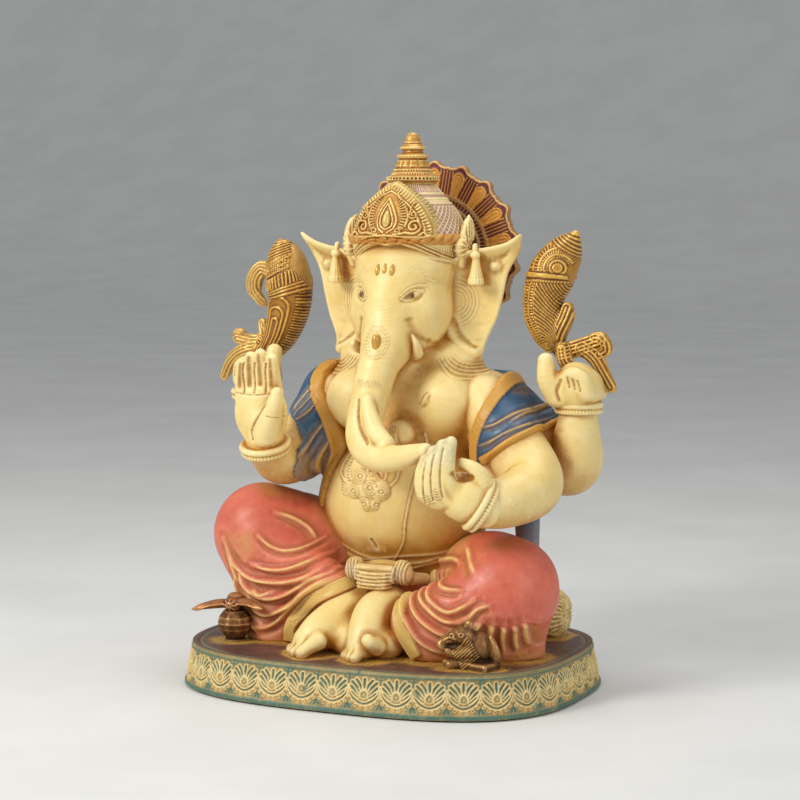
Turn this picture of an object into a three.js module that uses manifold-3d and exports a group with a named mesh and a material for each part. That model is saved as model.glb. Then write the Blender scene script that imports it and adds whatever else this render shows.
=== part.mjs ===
// Seated four-armed Ganesha idol on an oval plinth, as an assembly of separate castings.
// Millimetres, +Z up, +X is the idol's left, -Y is its front. The origin is the middle of the plinth's underside.
import * as THREE from "three";
import { ConvexGeometry } from "three/addons/geometries/ConvexGeometry.js";
import { mergeVertices } from "three/addons/utils/BufferGeometryUtils.js";
import Module from "manifold-3d";

const wasm = await Module();
wasm.setup();

// ---- Driving dimensions ----
const GAP = 0.3; // clearance between neighbouring castings
const PLINTH = { width: 532, depth: 412, height: 57, flare: 11, wall: 9, squareness: 2.9 };
const TOP_PLATE = { thick: 6, below_rim: 2, ledge: 9 };
const FELT = { thick: 2, inset: 4 };
const BELLY = { centre: [0, 46, 178], radii: [114, 92, 92] };
const CHEST = { centre: [0, 62, 292], radii: [102, 66, 78] };
const YOKE = { half_span: 96, y: 64, z: 322, radius: 36 };
const NECK = { foot: [0, 56, 345], top: [0, 46, 400], radius: 58 };
const HIPS = { centre: [0, 72, 52], radii: [118, 82, 66] };
const HEAD = { centre: [0, 42, 455], radii: [64, 73, 74] };
const FOREHEAD = { centre: [0, 48, 495], radii: [69, 68, 55] };
const EAR = { root: [70, 44, 500], reach: 88, drop: 132, thick: 9, sweep_deg: 16 };
const CROWN = { centre: [0, 58, 530], radii: [75, 73, 66], band: 6, plate: 5 };
const FINIAL = { base: [0, 58, 594], height: 70, radius: 26, spigot_radius: 9, spigot: 14 };
const FAN = { centre: [0, 139, 505], radius: 122, thick: 9, petals: 22, boss_radius: 15, boss: 26 };
const SHAWL = { thick: 11 };
const BRACELET = { proud: 9, width: 15 };
const CONCH_SPIGOT = { radius: 7, length: 22 };
const BOLSTER = { radius: 30, half_length: 198, centre: [0, 112, 30] };
const POT = { place: [-186, -90, 0], radius: 21 };
const MOUSE = { place: [160, -120, 0], height: 64 };
const LEG_RADII = { hip: 66, knee: 61, shin: 46, ankle: 34 };
const HEM_PROUD = 5;

// Heights here are above the top plate's surface, where the figure sits.
const SEAT_Z = PLINTH.height - TOP_PLATE.below_rim;

// ---- Materials ----
const paint = (color, roughness, metalness = 0) =>
  new THREE.MeshStandardMaterial({ color, roughness, metalness });
const CREAM = paint(0xecd48f, 0.5);
const PINK = paint(0xb9534a, 0.45);
const BLUE = paint(0x2f5878, 0.5);
const GOLD = paint(0xc08a34, 0.35, 0.7);
const MAROON = paint(0x7a2a35, 0.5, 0.3);
const MAUVE = paint(0xb98a9a, 0.5);
const TEAL = paint(0x5d8a78, 0.6);
const BROWN = paint(0x54423d, 0.5);
const BRONZE = paint(0x6d4a26, 0.4, 0.6);
const FELT_GREEN = paint(0x2e4a38, 0.95);

// ---- Solids from three.js geometry ----
// A closed three.js geometry as a manifold-3d solid.
function solid(geometry) {
  const bare = new THREE.BufferGeometry();
  const flat = geometry.index ? geometry.toNonIndexed() : geometry;
  bare.setAttribute("position", flat.getAttribute("position"));
  const merged = mergeVertices(bare, 1e-3);
  return new wasm.Manifold(
    new wasm.Mesh({
      numProp: 3,
      vertProperties: new Float32Array(merged.attributes.position.array),
      triVerts: new Uint32Array(merged.index.array),
    }),
  );
}

const union = (solids) => solids.reduce((a, b) => a.add(b));

// An ellipsoid, turned about X then Z where it leans.
function ball(centre, radii, grow = 0, { lean = 0, turn = 0, detail = 10 } = {}) {
  const g = new THREE.SphereGeometry(1, detail, Math.round(detail * 0.6)).rotateX(Math.PI / 2);
  g.scale(...radii.map((r) => r + grow));
  g.rotateX(THREE.MathUtils.degToRad(lean)).rotateZ(THREE.MathUtils.degToRad(turn));
  return solid(g.translate(...centre));
}

// A limb: each pair of neighbouring spheres [point, radius] is wrapped in one convex hull.
function limb(stations, grow = 0, detail = 7) {
  const hulls = stations.slice(1).map(([end, endRadius], i) => {
    const [start, startRadius] = stations[i];
    const points = [];
    for (const [p, r] of [[start, startRadius], [end, endRadius]]) {
      const sphere = new THREE.SphereGeometry(r + grow, detail, Math.max(4, detail - 4));
      const at = sphere.getAttribute("position");
      for (let k = 0; k < at.count; k++) {
        points.push(new THREE.Vector3().fromBufferAttribute(at, k).add(new THREE.Vector3(...p)));
      }
    }
    return solid(new ConvexGeometry(points));
  });
  return union(hulls);
}

// A turned piece: profile is [radius, height] pairs from the foot to the top, on the Z axis.
function turned(profile, at, grow = 0, detail = 24) {
  const low = profile[0][1];
  const high = profile.at(-1)[1];
  const points = profile.map(([r, z]) => {
    const ends = (z === low ? -grow : 0) + (z === high ? grow : 0);
    return new THREE.Vector2(r === 0 ? 0 : r + grow, z + ends);
  });
  const g = new THREE.LatheGeometry(points, detail).rotateX(Math.PI / 2);
  return solid(g.translate(...at));
}

// A flat plate of this outline in its XZ plane, thick along Y, turned about Z and then placed.
function plate(outline, thick, at, grow = 0, turn = 0, curve = 3) {
  const g = new THREE.ExtrudeGeometry(new THREE.Shape(outline), {
    depth: thick, bevelEnabled: grow > 0, bevelSize: grow, bevelThickness: grow,
    bevelSegments: 1, curveSegments: curve,
  });
  g.translate(0, 0, -thick / 2).rotateX(Math.PI / 2).rotateZ(THREE.MathUtils.degToRad(turn));
  return solid(g.translate(...at));
}

// An oval solid of the plinth's plan: profile is [inset from the foot's outline, height] pairs.
// It is a lathe round a nominal circle, whose vertices are then moved out to the oval.
function oval(profile, closedRing = false) {
  const nominal = PLINTH.width / 2;
  const points = profile.map(([inset, z]) => new THREE.Vector2(inset === null ? 0 : nominal - inset, z));
  if (closedRing) points.push(points[0].clone());
  const g = new THREE.LatheGeometry(points, 44).rotateX(Math.PI / 2);
  const at = g.getAttribute("position");
  const power = 2 / PLINTH.squareness;
  for (let k = 0; k < at.count; k++) {
    const radius = Math.hypot(at.getX(k), at.getY(k));
    if (radius < 1e-6) continue;
    const inset = nominal - radius;
    const c = at.getX(k) / radius;
    const s = at.getY(k) / radius;
    at.setX(k, Math.sign(c) * Math.abs(c) ** power * (PLINTH.width / 2 - inset));
    at.setY(k, Math.sign(s) * Math.abs(s) ** power * (PLINTH.depth / 2 - inset));
  }
  return solid(g);
}

// ---- Assembly ----
// Pieces are added most important first. Each later piece is cut back, with a gap, from every
// earlier piece that it meets, so that the castings seat on each other without touching.
const figure = new THREE.Group();
const idol = new THREE.Group();
idol.add(figure);
figure.position.z = SEAT_Z;
const placed = [];

function mainBody(cut) {
  return cut.decompose().reduce((a, b) => (a.volume() >= b.volume() ? a : b));
}

function meshOf(name, made, material) {
  const { vertProperties, triVerts, numProp } = made.getMesh();
  const positions = new Float32Array((vertProperties.length / numProp) * 3);
  for (let k = 0; k < positions.length / 3; k++) {
    positions.set(vertProperties.subarray(k * numProp, k * numProp + 3), k * 3);
  }
  const g = new THREE.BufferGeometry();
  g.setAttribute("position", new THREE.BufferAttribute(positions, 3));
  g.setIndex(new THREE.BufferAttribute(new Uint32Array(triVerts), 1));
  g.computeVertexNormals();
  const mesh = new THREE.Mesh(g, material);
  mesh.name = name;
  return mesh;
}

function meets(a, b) {
  const [p, q] = [a.boundingBox(), b.boundingBox()];
  return [0, 1, 2].every((i) => p.min[i] <= q.max[i] && q.min[i] <= p.max[i]);
}

const seatCutter = solid(
  new THREE.BoxGeometry(2000, 2000, 200).translate(0, 0, GAP - 100),
);

// make(grow) builds the piece's own shape; grown by the gap it is what cuts the later pieces.
function piece(name, material, make) {
  let cut = make(0).subtract(seatCutter);
  for (const cutter of placed) if (meets(cut, cutter)) cut = cut.subtract(cutter);
  figure.add(meshOf(name, mainBody(cut), material));
  placed.push(make(GAP));
}

// The two mirrored sides: the idol's right is at -X and its left at +X.
const SIDES = [["right", -1], ["left", 1]];
const across = (side, [x, y, z]) => [side * x, y, z];

// ---- Plinth ----
const topInset = PLINTH.flare;
const insetAt = (z) => (topInset * z) / PLINTH.height;
const plateFoot = SEAT_Z - TOP_PLATE.thick;
const ledgeTop = plateFoot - GAP;
const ledgeFoot = ledgeTop - TOP_PLATE.ledge * 0.6;
const bandFoot = FELT.thick + GAP;
const innerAt = (z) => insetAt(z) + PLINTH.wall;

idol.add(meshOf("base_felt", oval([[null, 0], [FELT.inset, 0], [FELT.inset, FELT.thick], [null, FELT.thick]]),
  FELT_GREEN));
idol.add(meshOf("plinth_band", oval([
  [insetAt(bandFoot), bandFoot], [insetAt(PLINTH.height), PLINTH.height], [innerAt(PLINTH.height), PLINTH.height],
  [innerAt(ledgeTop), ledgeTop], [innerAt(ledgeTop) + TOP_PLATE.ledge, ledgeTop],
  [innerAt(ledgeFoot) + TOP_PLATE.ledge, ledgeFoot], [innerAt(ledgeFoot), ledgeFoot], [innerAt(bandFoot), bandFoot],
], true), TEAL));
idol.add(meshOf("plinth_top", oval([
  [null, plateFoot], [innerAt(PLINTH.height) + GAP, plateFoot], [innerAt(PLINTH.height) + GAP, SEAT_Z], [null, SEAT_Z],
]), BROWN));

// ---- Torso and head ----
piece("torso", CREAM, (g) => union([
  ball(BELLY.centre, BELLY.radii, g, { detail: 15 }),
  ball(CHEST.centre, CHEST.radii, g, { detail: 15 }),
  limb([[NECK.foot, NECK.radius], [NECK.top, NECK.radius * 0.85]], g),
  limb([[[-YOKE.half_span, YOKE.y, YOKE.z], YOKE.radius], [[YOKE.half_span, YOKE.y, YOKE.z], YOKE.radius]], g),
]));
piece("head", CREAM, (g) => union([
  ball(HEAD.centre, HEAD.radii, g, { detail: 15 }),
  ball(FOREHEAD.centre, FOREHEAD.radii, g, { detail: 15 }),
  ball([0, 10, 410], [46, 42, 36], g),
]));

// ---- Crown ----
const finialProfile = (spigot) => {
  const { height: h, radius: r } = FINIAL;
  return [[0, -spigot], [FINIAL.spigot_radius, -spigot], [FINIAL.spigot_radius, 0], [r, 0], [r, h * 0.1],
    [r * 0.84, h * 0.16], [r * 0.8, h * 0.4], [r * 0.72, h * 0.56], [r * 0.54, h * 0.64], [r * 0.5, h * 0.74],
    [r * 0.34, h * 0.82], [r * 0.2, h * 0.96], [0, h]];
};
piece("crown_finial", GOLD, (g) => turned(finialProfile(FINIAL.spigot), FINIAL.base, g, 16));

function fanOutline() {
  const points = [];
  const steps = FAN.petals * 2;
  for (let k = 0; k < steps; k++) {
    const angle = (k / steps) * 2 * Math.PI;
    const r = FAN.radius * (k % 2 ? 0.955 : 1);
    points.push(new THREE.Vector2(r * Math.sin(angle), r * Math.cos(angle)));
  }
  return points.reverse();
}
piece("crown_fan", MAROON, (g) => {
  const [x, y, z] = FAN.centre;
  const boss = new THREE.CylinderGeometry(FAN.boss_radius + g, FAN.boss_radius + g, FAN.boss + g, 20);
  boss.translate(x, y - FAN.boss / 2, z + 12);
  return plate(fanOutline(), FAN.thick, FAN.centre, g).add(solid(boss));
});

piece("crown_dome", MAUVE, (g) => {
  const [x, y, z] = CROWN.centre;
  return ball(CROWN.centre, CROWN.radii, g, { detail: 15 })
    .intersect(solid(new THREE.BoxGeometry(400, 400, 200).translate(x, y, z + 88 - g)));
});
const shield = [[-74, -12], [74, -12], [66, 8], [44, 32], [20, 58], [0, 72], [-20, 58], [-44, 32], [-66, 8]];
piece("crown_front", GOLD, (g) => {
  const [x, y, z] = CROWN.centre;
  const outline = shield.map(([u, v]) => new THREE.Vector2(u, v));
  const prism = plate(outline, 150, [x, y - 70, z], g);
  return ball(CROWN.centre, CROWN.radii.map((r) => r + CROWN.plate), g, { detail: 15 }).intersect(prism);
});
piece("crown_band", CREAM, (g) => {
  const [x, y, z] = CROWN.centre;
  const ring = new THREE.TorusGeometry(1, 0.1, 6, 26);
  const at = ring.getAttribute("position");
  for (let k = 0; k < at.count; k++) {
    const [px, py, pz] = [at.getX(k), at.getY(k), at.getZ(k)];
    const out = Math.hypot(px, py);
    const radial = (out - 1) * 10 * (CROWN.band + g);
    at.setXYZ(k, (px / out) * (CROWN.radii[0] - 2 + radial), (py / out) * (CROWN.radii[1] - 1 + radial),
      pz * 10 * (CROWN.band + g));
  }
  return solid(ring.rotateX(THREE.MathUtils.degToRad(4)).translate(x, y, z - 20));
});
for (const [word, side] of SIDES) {
  piece(`crown_rosette_${word}`, GOLD, (g) => ball(across(side, [82, 50, 512]), [9, 15, 20], g, { detail: 8 }));
}

// ---- Ears ----
for (const [word, side] of SIDES) {
  piece(`ear_${word}`, CREAM, (g) => {
    const { reach: w, drop: d } = EAR;
    const outline = [[-6, 4], [w * 0.55, d * 0.08], [w, d * 0.24], [w * 0.86, -d * 0.06], [w * 0.7, -d * 0.4],
      [w * 0.5, -d * 0.72], [w * 0.44, -d], [w * 0.1, -d * 0.9], [-14, -d * 0.72], [-16, -d * 0.3]];
    const turnedWay = outline.map(([u, v]) => new THREE.Vector2(side * u, v));
    if (side > 0) turnedWay.reverse();
    return plate(turnedWay, EAR.thick, across(side, EAR.root), g, side * EAR.sweep_deg);
  });
  piece(`ear_tassel_${word}`, CREAM, (g) => limb([
    [across(side, [98, 36, 510]), 6], [across(side, [101, 36, 488]), 7], [across(side, [103, 36, 470]), 10]], g));
}

// ---- Trunk and tusks ----
const TRUNK = [
  [[0, -4, 462], 34], [[0, -16, 410], 31], [[-7, -48, 350], 25], [[-5, -60, 300], 24], [[5, -72, 266], 22]];
const TRUNK_TIP = [[[14, -78, 258], 20], [[42, -96, 254], 18], [[78, -114, 258], 15], [[104, -126, 266], 11]];
piece("trunk_upper", CREAM, (g) => limb(TRUNK, g, 8));
piece("trunk_tip", CREAM, (g) => limb(TRUNK_TIP, g, 8));
piece("tusk_left", CREAM, (g) => limb([[[30, -6, 408], 10], [[42, -26, 396], 7], [[50, -40, 388], 3]], g));
piece("tusk_right", CREAM, (g) => limb([[[-30, -6, 408], 10], [[-42, -28, 394], 7]], g));
piece("tilak", GOLD, (g) => ball([0, -30, 484], [13, 5, 10], g, { detail: 8, lean: 12 }));
piece("trunk_jewel", GOLD, (g) => ball([0, -47, 402], [12, 6, 17], g, { detail: 8, lean: 14 }));

// ---- Hands and what they hold ----
const HELD = { foot: [236, 52, 352], heart: [196, 78, 440], top: [216, 96, 528] };
for (const [word, side] of SIDES) {
  const at = (p) => across(side, p);
  piece(`conch_${word}`, GOLD, (g) => union([
    limb([[at([218, 60, 366]), 17], [at([196, 76, 405]), 25], [at([190, 80, 450]), 33],
      [at([200, 88, 490]), 29], [at([HELD.top[0], HELD.top[1], HELD.top[2] - 12]), 9]], g, 8),
    limb([[at([226, 60, 362]), 15], [at([252, 64, 374]), 12], [at([278, 74, 330]), 5]], g),
    limb([[at([222, 58, 362]), CONCH_SPIGOT.radius],
      [at([228, 56, 362 - CONCH_SPIGOT.length]), CONCH_SPIGOT.radius]], g),
  ]));
}

const WRIST = { rear_right: [-236, 58, 312], rear_left: [236, 58, 312], front_right: [-147, -74, 262],
  front_left: [166, -103, 202] };
const REAR_HAND = { palm: [232, 52, 338], knuckle: [224, 46, 362] };
for (const [word, side] of SIDES) {
  const [x, y, z] = REAR_HAND.palm;
  piece(`rear_hand_${word}`, CREAM, (g) => {
    const fingers = [0, 1, 2, 3].map((k) => limb([
      [across(side, [x + 12 + k * 3, y - 20 + k * 12, z + 6]), 9],
      [across(side, [x + 2 + k * 3, y - 24 + k * 12, z + 34 - k * 3]), 7]], g, 5));
    return union([ball(across(side, REAR_HAND.palm), [22, 22, 32], g), ...fingers]);
  });
}
const ABHAYA = { palm: [-147, -90, 306], radii: [27, 15, 38] };
piece("front_hand_right", CREAM, (g) => {
  const [x, y, z] = ABHAYA.palm;
  const fingers = [-21, -8, 6, 19].map((dx, k) => limb([
    [[x + dx, y + 2, z + 28], 8.5], [[x + dx * 1.1, y - 4, z + 52 + 3 * Math.min(k, 2)], 8],
    [[x + dx * 1.1, y - 10, z + 66 + 5 * Math.min(k, 2)], 6.5]], g, 5));
  const thumb = limb([[[x + 20, y - 6, z - 22], 14], [[x + 26, y - 18, z + 12], 9], [[x + 27, y - 20, z + 34], 7]], g, 5);
  return union([ball(ABHAYA.palm, ABHAYA.radii, g), thumb, ...fingers]);
});
const CUP = { palm: [142, -118, 220], radii: [36, 26, 26] };
piece("front_hand_left", CREAM, (g) => {
  const fingers = [0, 1, 2, 3].map((k) => limb([
    [[106 + k * 11, -136, 226], 9], [[102 + k * 11, -142, 246], 8], [[104 + k * 12, -138, 258 + 7 * Math.min(k, 2)], 6.5]],
    g, 8));
  const thumb = limb([[[166, -114, 236], 11], [[164, -116, 258], 8], [[150, -120, 266], 7]], g, 5);
  return union([ball(CUP.palm, CUP.radii, g, { turn: -25 }), thumb, ...fingers]);
});

// ---- Arms: an upper arm and a forearm each ----
const ARMS = {
  rear_right: { shoulder: [[-116, 84, 312], 38], elbow: [[-212, 80, 238], 39], wrist: [WRIST.rear_right, 24] },
  rear_left: { shoulder: [[116, 84, 312], 38], elbow: [[216, 80, 232], 40], wrist: [WRIST.rear_left, 24] },
  front_right: { shoulder: [[-116, 48, 312], 39], elbow: [[-132, 4, 238], 34], wrist: [WRIST.front_right, 25] },
  front_left: { shoulder: [[118, 48, 312], 39], elbow: [[204, -8, 226], 37], wrist: [WRIST.front_left, 28] },
};
for (const [name, { shoulder, elbow, wrist }] of Object.entries(ARMS)) {
  piece(`${name}_forearm`, CREAM, (g) => limb([elbow, wrist], g, 8));
  piece(`${name}_upper_arm`, CREAM, (g) => limb([shoulder, elbow], g, 8));
}

// A bracelet is a ring round the wrist, square to the forearm or to the direction given.
const BRACELET_AXIS = { rear_right: [0, 0, 1], rear_left: [0, 0, 1], front_right: [0.1, 0.25, 1], front_left: [-0.75, -0.3, 0.55] };
for (const [name, { wrist: [at, wristRadius] }] of Object.entries(ARMS)) {
  piece(`${name}_bracelet`, CREAM, (g) => {
    const outer = wristRadius + BRACELET.proud + g;
    const inner = wristRadius * 0.6;
    const half = BRACELET.width / 2 + g;
    const ring = new THREE.LatheGeometry(
      [[inner, -half], [outer - 3, -half], [outer, 0], [outer - 3, half], [inner, half], [inner, -half]]
        .map(([r, z]) => new THREE.Vector2(r, z)), 24).rotateX(Math.PI / 2);
    const axis = new THREE.Vector3(...BRACELET_AXIS[name]).normalize();
    ring.applyQuaternion(new THREE.Quaternion().setFromUnitVectors(new THREE.Vector3(0, 0, 1), axis));
    return solid(ring.translate(...at));
  });
}

// ---- Legs and feet ----
const LEGS = {
  right: { hip: [-72, 72, 66], knee: [-180, -25, 138], shin: [-112, -48, 84], cuff: [-44, -62, 66], drape: [-158, -40, 46] },
  left: { hip: [72, 72, 60], knee: [182, -45, 88], shin: [122, -78, 60], cuff: [66, -88, 52], drape: [178, -42, 40] },
};
const FEET = {
  right: { ankle: [-34, -64, 56], heel: [-16, -62, 22], ball: [-62, -116, 16], toes: [-84, -146, 10] },
  left: { ankle: [44, -84, 56], heel: [54, -74, 22], ball: [24, -122, 16], toes: [6, -146, 12] },
};
for (const [word, { ankle, heel, ball: sole, toes }] of Object.entries(FEET)) {
  piece(`foot_${word}`, CREAM, (g) => union([
    limb([[ankle, 30], [heel, 24]], g), limb([[ankle, 27], [sole, 21]], g), limb([[heel, 22], [sole, 20], [toes, 13]], g)]));
}
for (const [word, { hip, knee, shin, cuff, drape }] of Object.entries(LEGS)) {
  const { hip: hipR, knee: kneeR, shin: shinR, ankle: ankleR } = LEG_RADII;
  piece(`leg_${word}`, PINK, (g) => union([
    limb([[hip, hipR], [knee, kneeR]], g, 8), limb([[knee, kneeR - 2], [shin, shinR], [cuff, ankleR]], g, 8),
    limb([[knee, kneeR - 8], [drape, shinR]], g, 8), limb([[shin, shinR - 2], [[shin[0], shin[1], 20], shinR - 6]], g, 8)]));
  const end = new THREE.Vector3(...cuff);
  const back = new THREE.Vector3(...shin).sub(end).normalize().multiplyScalar(8);
  const near = end.clone().add(back);
  const far = end.clone().sub(back);
  piece(`hem_${word}`, CREAM, (g) => limb([[near.toArray(), ankleR + HEM_PROUD], [far.toArray(), ankleR + HEM_PROUD - 2]], g, 8));
}
piece("hips", PINK, (g) => ball(HIPS.centre, HIPS.radii, g, { detail: 12 }));
piece("waist_sash", CREAM, (g) => ball([8, -66, 88], [32, 20, 17], g, { detail: 8 }));

// ---- Shawl and ornaments ----
for (const [word, side] of SIDES) {
  const { shoulder: [at, r], elbow: [elbow, elbowRadius] } = ARMS[`front_${word}`];
  const along = side < 0 ? 0.7 : 0.5;
  const hem = at.map((v, i) => v + (elbow[i] - v) * along);
  const hemRadius = r + (elbowRadius - r) * along + SHAWL.thick;
  piece(`shawl_${word}`, BLUE, (g) => limb([[at, r + SHAWL.thick], [hem, hemRadius]], g, 8));
}
piece("shawl_back", BLUE, (g) => {
  const drape = ball([0, 66, 196], [150, 96, 168], g, { detail: 15 });
  const behind = solid(new THREE.BoxGeometry(400, 200, 400).translate(0, 78 + 100 - g, 200 + 40 - g));
  return drape.intersect(behind).subtract(ball([0, 60, 190], [150 - 12, 96 - 10, 190], -g, { detail: 15 }));
});
piece("belly_pendant", CREAM, (g) => union([
  ball([-16, -44, 196], [17, 8, 15], g, { detail: 8 }), ball([2, -47, 206], [17, 8, 15], g, { detail: 8 }),
  ball([-10, -45, 172], [14, 8, 13], g, { detail: 8 })]));
piece("bolster", CREAM, (g) => {
  const { radius: r, half_length: l, centre } = BOLSTER;
  const roll = new THREE.CylinderGeometry(r + g, r + g, 2 * (l + g), 24).rotateZ(Math.PI / 2);
  return solid(roll.translate(...centre));
});

// ---- Attendants on the plinth ----
piece("offering_pot", BRONZE, (g) => turned(
  [[0, 0], [POT.radius * 0.55, 0], [POT.radius * 0.5, 4], [POT.radius, 20], [POT.radius * 0.86, 34],
    [POT.radius * 0.45, 42], [0, 42]], POT.place, g, 20));
piece("pot_leaves", BRONZE, (g) => {
  const [x, y] = POT.place;
  return union([ball([x, y, 50], [13, 13, 8], g, { detail: 8 }),
    limb([[[x - 8, y - 2, 50], 5], [[x - 42, y - 8, 42], 2.5]], g, 5),
    limb([[[x + 8, y - 2, 50], 5], [[x + 34, y - 12, 46], 2.5]], g, 5)]);
});
piece("mouse", BRONZE, (g) => {
  const [x, y] = MOUSE.place;
  const h = MOUSE.height;
  return union([
    ball([x, y, h * 0.3], [19, 17, h * 0.36], g, { detail: 8 }), ball([x - 4, y - 4, h * 0.72], [11, 10, 10], g, { detail: 8 }),
    limb([[[x - 8, y - 10, h * 0.45], 5], [[x - 24, y - 14, h * 0.44], 5]], g, 5), ball([x, y, 3], [26, 20, 5], g, { detail: 8 })]);
});

export default idol;
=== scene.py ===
"""Looks of the seated Ganesha idol: sculpted pieces, relief, paint, stage, light and camera.

Shapes are written in millimetres in the frame of the CAD pack (Z up, the idol facing -Y) and become
metres when a mesh is made.
"""

import math
from concurrent.futures import ThreadPoolExecutor

import bpy
import numpy as np
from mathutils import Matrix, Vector


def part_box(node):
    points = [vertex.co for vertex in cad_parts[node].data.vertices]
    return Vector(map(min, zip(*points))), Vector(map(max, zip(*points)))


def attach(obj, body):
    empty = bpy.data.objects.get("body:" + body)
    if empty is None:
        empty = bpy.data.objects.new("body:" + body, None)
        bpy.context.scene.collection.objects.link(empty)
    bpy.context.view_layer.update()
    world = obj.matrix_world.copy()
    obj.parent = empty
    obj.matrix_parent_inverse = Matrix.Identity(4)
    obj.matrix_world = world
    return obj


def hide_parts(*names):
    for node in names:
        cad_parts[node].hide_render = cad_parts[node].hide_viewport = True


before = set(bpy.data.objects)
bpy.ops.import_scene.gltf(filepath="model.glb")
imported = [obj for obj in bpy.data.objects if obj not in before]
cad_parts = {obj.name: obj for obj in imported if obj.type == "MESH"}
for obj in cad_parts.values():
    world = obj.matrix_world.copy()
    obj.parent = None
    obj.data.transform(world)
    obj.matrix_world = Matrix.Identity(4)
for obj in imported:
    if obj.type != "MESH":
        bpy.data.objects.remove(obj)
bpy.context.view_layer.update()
COARSE = 1.0
GROUND = 54.5  # height at which limbs and cloth are cut off, just inside the plinth's top plate


# ---------------------------------------------------------------- distance fields
def unit(v):
    v = np.asarray(v, float)
    return v / np.linalg.norm(v)


def turning(x=0, y=0, z=0):
    """Rotation matrix for turns in degrees about X, then Y, then Z."""
    (cx, sx), (cy, sy), (cz, sz) = ((math.cos(math.radians(a)), math.sin(math.radians(a))) for a in (x, y, z))
    rx = np.array([[1, 0, 0], [0, cx, -sx], [0, sx, cx]])
    ry = np.array([[cy, 0, sy], [0, 1, 0], [-sy, 0, cy]])
    rz = np.array([[cz, -sz, 0], [sz, cz, 0], [0, 0, 1]])
    return rz @ ry @ rx


def ball(centre, radii, x=0, y=0, z=0):
    c = np.array(centre, np.float32)
    r = np.array(radii if hasattr(radii, "__len__") else [radii] * 3, np.float32)
    turn = turning(x, y, z).astype(np.float32)

    def field(p):
        q = (p - c) @ turn
        k0 = np.linalg.norm(q / r, axis=1)
        k1 = np.linalg.norm(q / (r * r), axis=1)
        return k0 * (k0 - 1) / np.maximum(k1, 1e-6)

    return field


def smooth_line(points, steps=5):
    """Catmull-Rom through the points, which may carry extra columns such as a radius."""
    p = np.array(points, float)
    if len(p) < 3 or steps <= 1:
        return p
    p = np.vstack([2 * p[0] - p[1], p, 2 * p[-1] - p[-2]])
    rows = []
    for i in range(1, len(p) - 2):
        for t in np.arange(steps) / steps:
            a, b, c, d = p[i - 1 : i + 3]
            rows.append(
                0.5 * (2 * b + (c - a) * t + (2 * a - 5 * b + 4 * c - d) * t * t
                       + (3 * b - a - 3 * c + d) * t ** 3)
            )
    rows.append(p[-2])
    return np.array(rows)


def tube(stations, steps=4):
    """A round limb through (x, y, z, radius) stations."""
    s = smooth_line(stations, steps).astype(np.float32)

    def field(p):
        best = np.full(len(p), 1e6, np.float32)
        for a, b in zip(s[:-1], s[1:]):
            ab = b[:3] - a[:3]
            t = np.clip((p - a[:3]) @ ab / max(float(ab @ ab), 1e-9), 0, 1)
            away = p - a[:3] - t[:, None] * ab
            np.minimum(best, np.sqrt((away * away).sum(1)) - (a[3] + (b[3] - a[3]) * t), out=best)
        return best

    return field


def box(centre, half, rounding=2, x=0, y=0, z=0):
    c = np.array(centre, np.float32)
    b = np.array(half, np.float32) - rounding
    turn = turning(x, y, z).astype(np.float32)

    def field(p):
        q = np.abs((p - c) @ turn) - b
        return np.linalg.norm(np.maximum(q, 0), axis=1) + np.minimum(q.max(1), 0) - rounding

    return field


def above(height):
    return lambda p: height - p[:, 2]


def join(k, *fields):
    """Smooth union, blending over about k millimetres."""

    def field(p):
        d = fields[0](p)
        for f in fields[1:]:
            e = f(p)
            h = np.clip(0.5 + 0.5 * (e - d) / k, 0, 1)
            d = e + (d - e) * h - k * h * (1 - h)
        return d

    return field


def cut(k, body, *tools):
    """Smooth subtraction of the tools from the body."""

    def field(p):
        d = body(p)
        for f in tools:
            e = -f(p)
            h = np.clip(0.5 - 0.5 * (e - d) / k, 0, 1)
            d = e + (d - e) * h + k * h * (1 - h)
        return d

    return field


def both(k, a, b):
    return cut(k, a, lambda p: -b(p))


def flat(field, centre, axis, times):
    """The field pressed thinner along an axis by this many times."""
    c = np.array(centre, np.float32)
    a = unit(axis).astype(np.float32)

    def pressed(p):
        out = ((p - c) @ a)[:, None] * a
        return field(p + out * np.float32(times - 1)) / np.float32(math.sqrt(times))

    return pressed


def mirror(field):
    return lambda p: field(p * np.array([-1, 1, 1], np.float32))


# ---------------------------------------------------------------- meshes from fields
ROOM = dict(lo=np.array([-330.0, -260.0, 0.0]), step=4.0, size=(166, 131, 196))
room = np.full(ROOM["size"], 60, np.float32)  # distance to the nearest surface, for shading hollows


def fill_room(lo, step, values):
    """Notes a piece's field in the room, so that other pieces know it is near."""
    a = np.maximum(np.ceil((lo - ROOM["lo"]) / ROOM["step"]).astype(int), 0)
    top = lo + step * (np.array(values.shape) - 1)
    b = np.minimum(np.floor((top - ROOM["lo"]) / ROOM["step"]).astype(int), np.array(ROOM["size"]) - 1)
    picks = []
    for i in range(3):
        at = ROOM["lo"][i] + ROOM["step"] * np.arange(a[i], b[i] + 1)
        picks.append(np.clip(np.round((at - lo[i]) / step).astype(int), 0, values.shape[i] - 1))
    part = room[a[0] : b[0] + 1, a[1] : b[1] + 1, a[2] : b[2] + 1]
    np.minimum(part, values[np.ix_(*picks)], out=part)


def sample_room(p):
    q = (p - ROOM["lo"]) / ROOM["step"]
    q = np.clip(q, 0, np.array(ROOM["size"]) - 1.001)
    i = q.astype(int)
    f = (q - i).astype(np.float32)
    total = np.zeros(len(p), np.float32)
    for dx in (0, 1):
        for dy in (0, 1):
            for dz in (0, 1):
                w = ((f[:, 0] if dx else 1 - f[:, 0]) * (f[:, 1] if dy else 1 - f[:, 1])
                     * (f[:, 2] if dz else 1 - f[:, 2]))
                total += w * room[i[:, 0] + dx, i[:, 1] + dy, i[:, 2] + dz]
    return total


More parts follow.
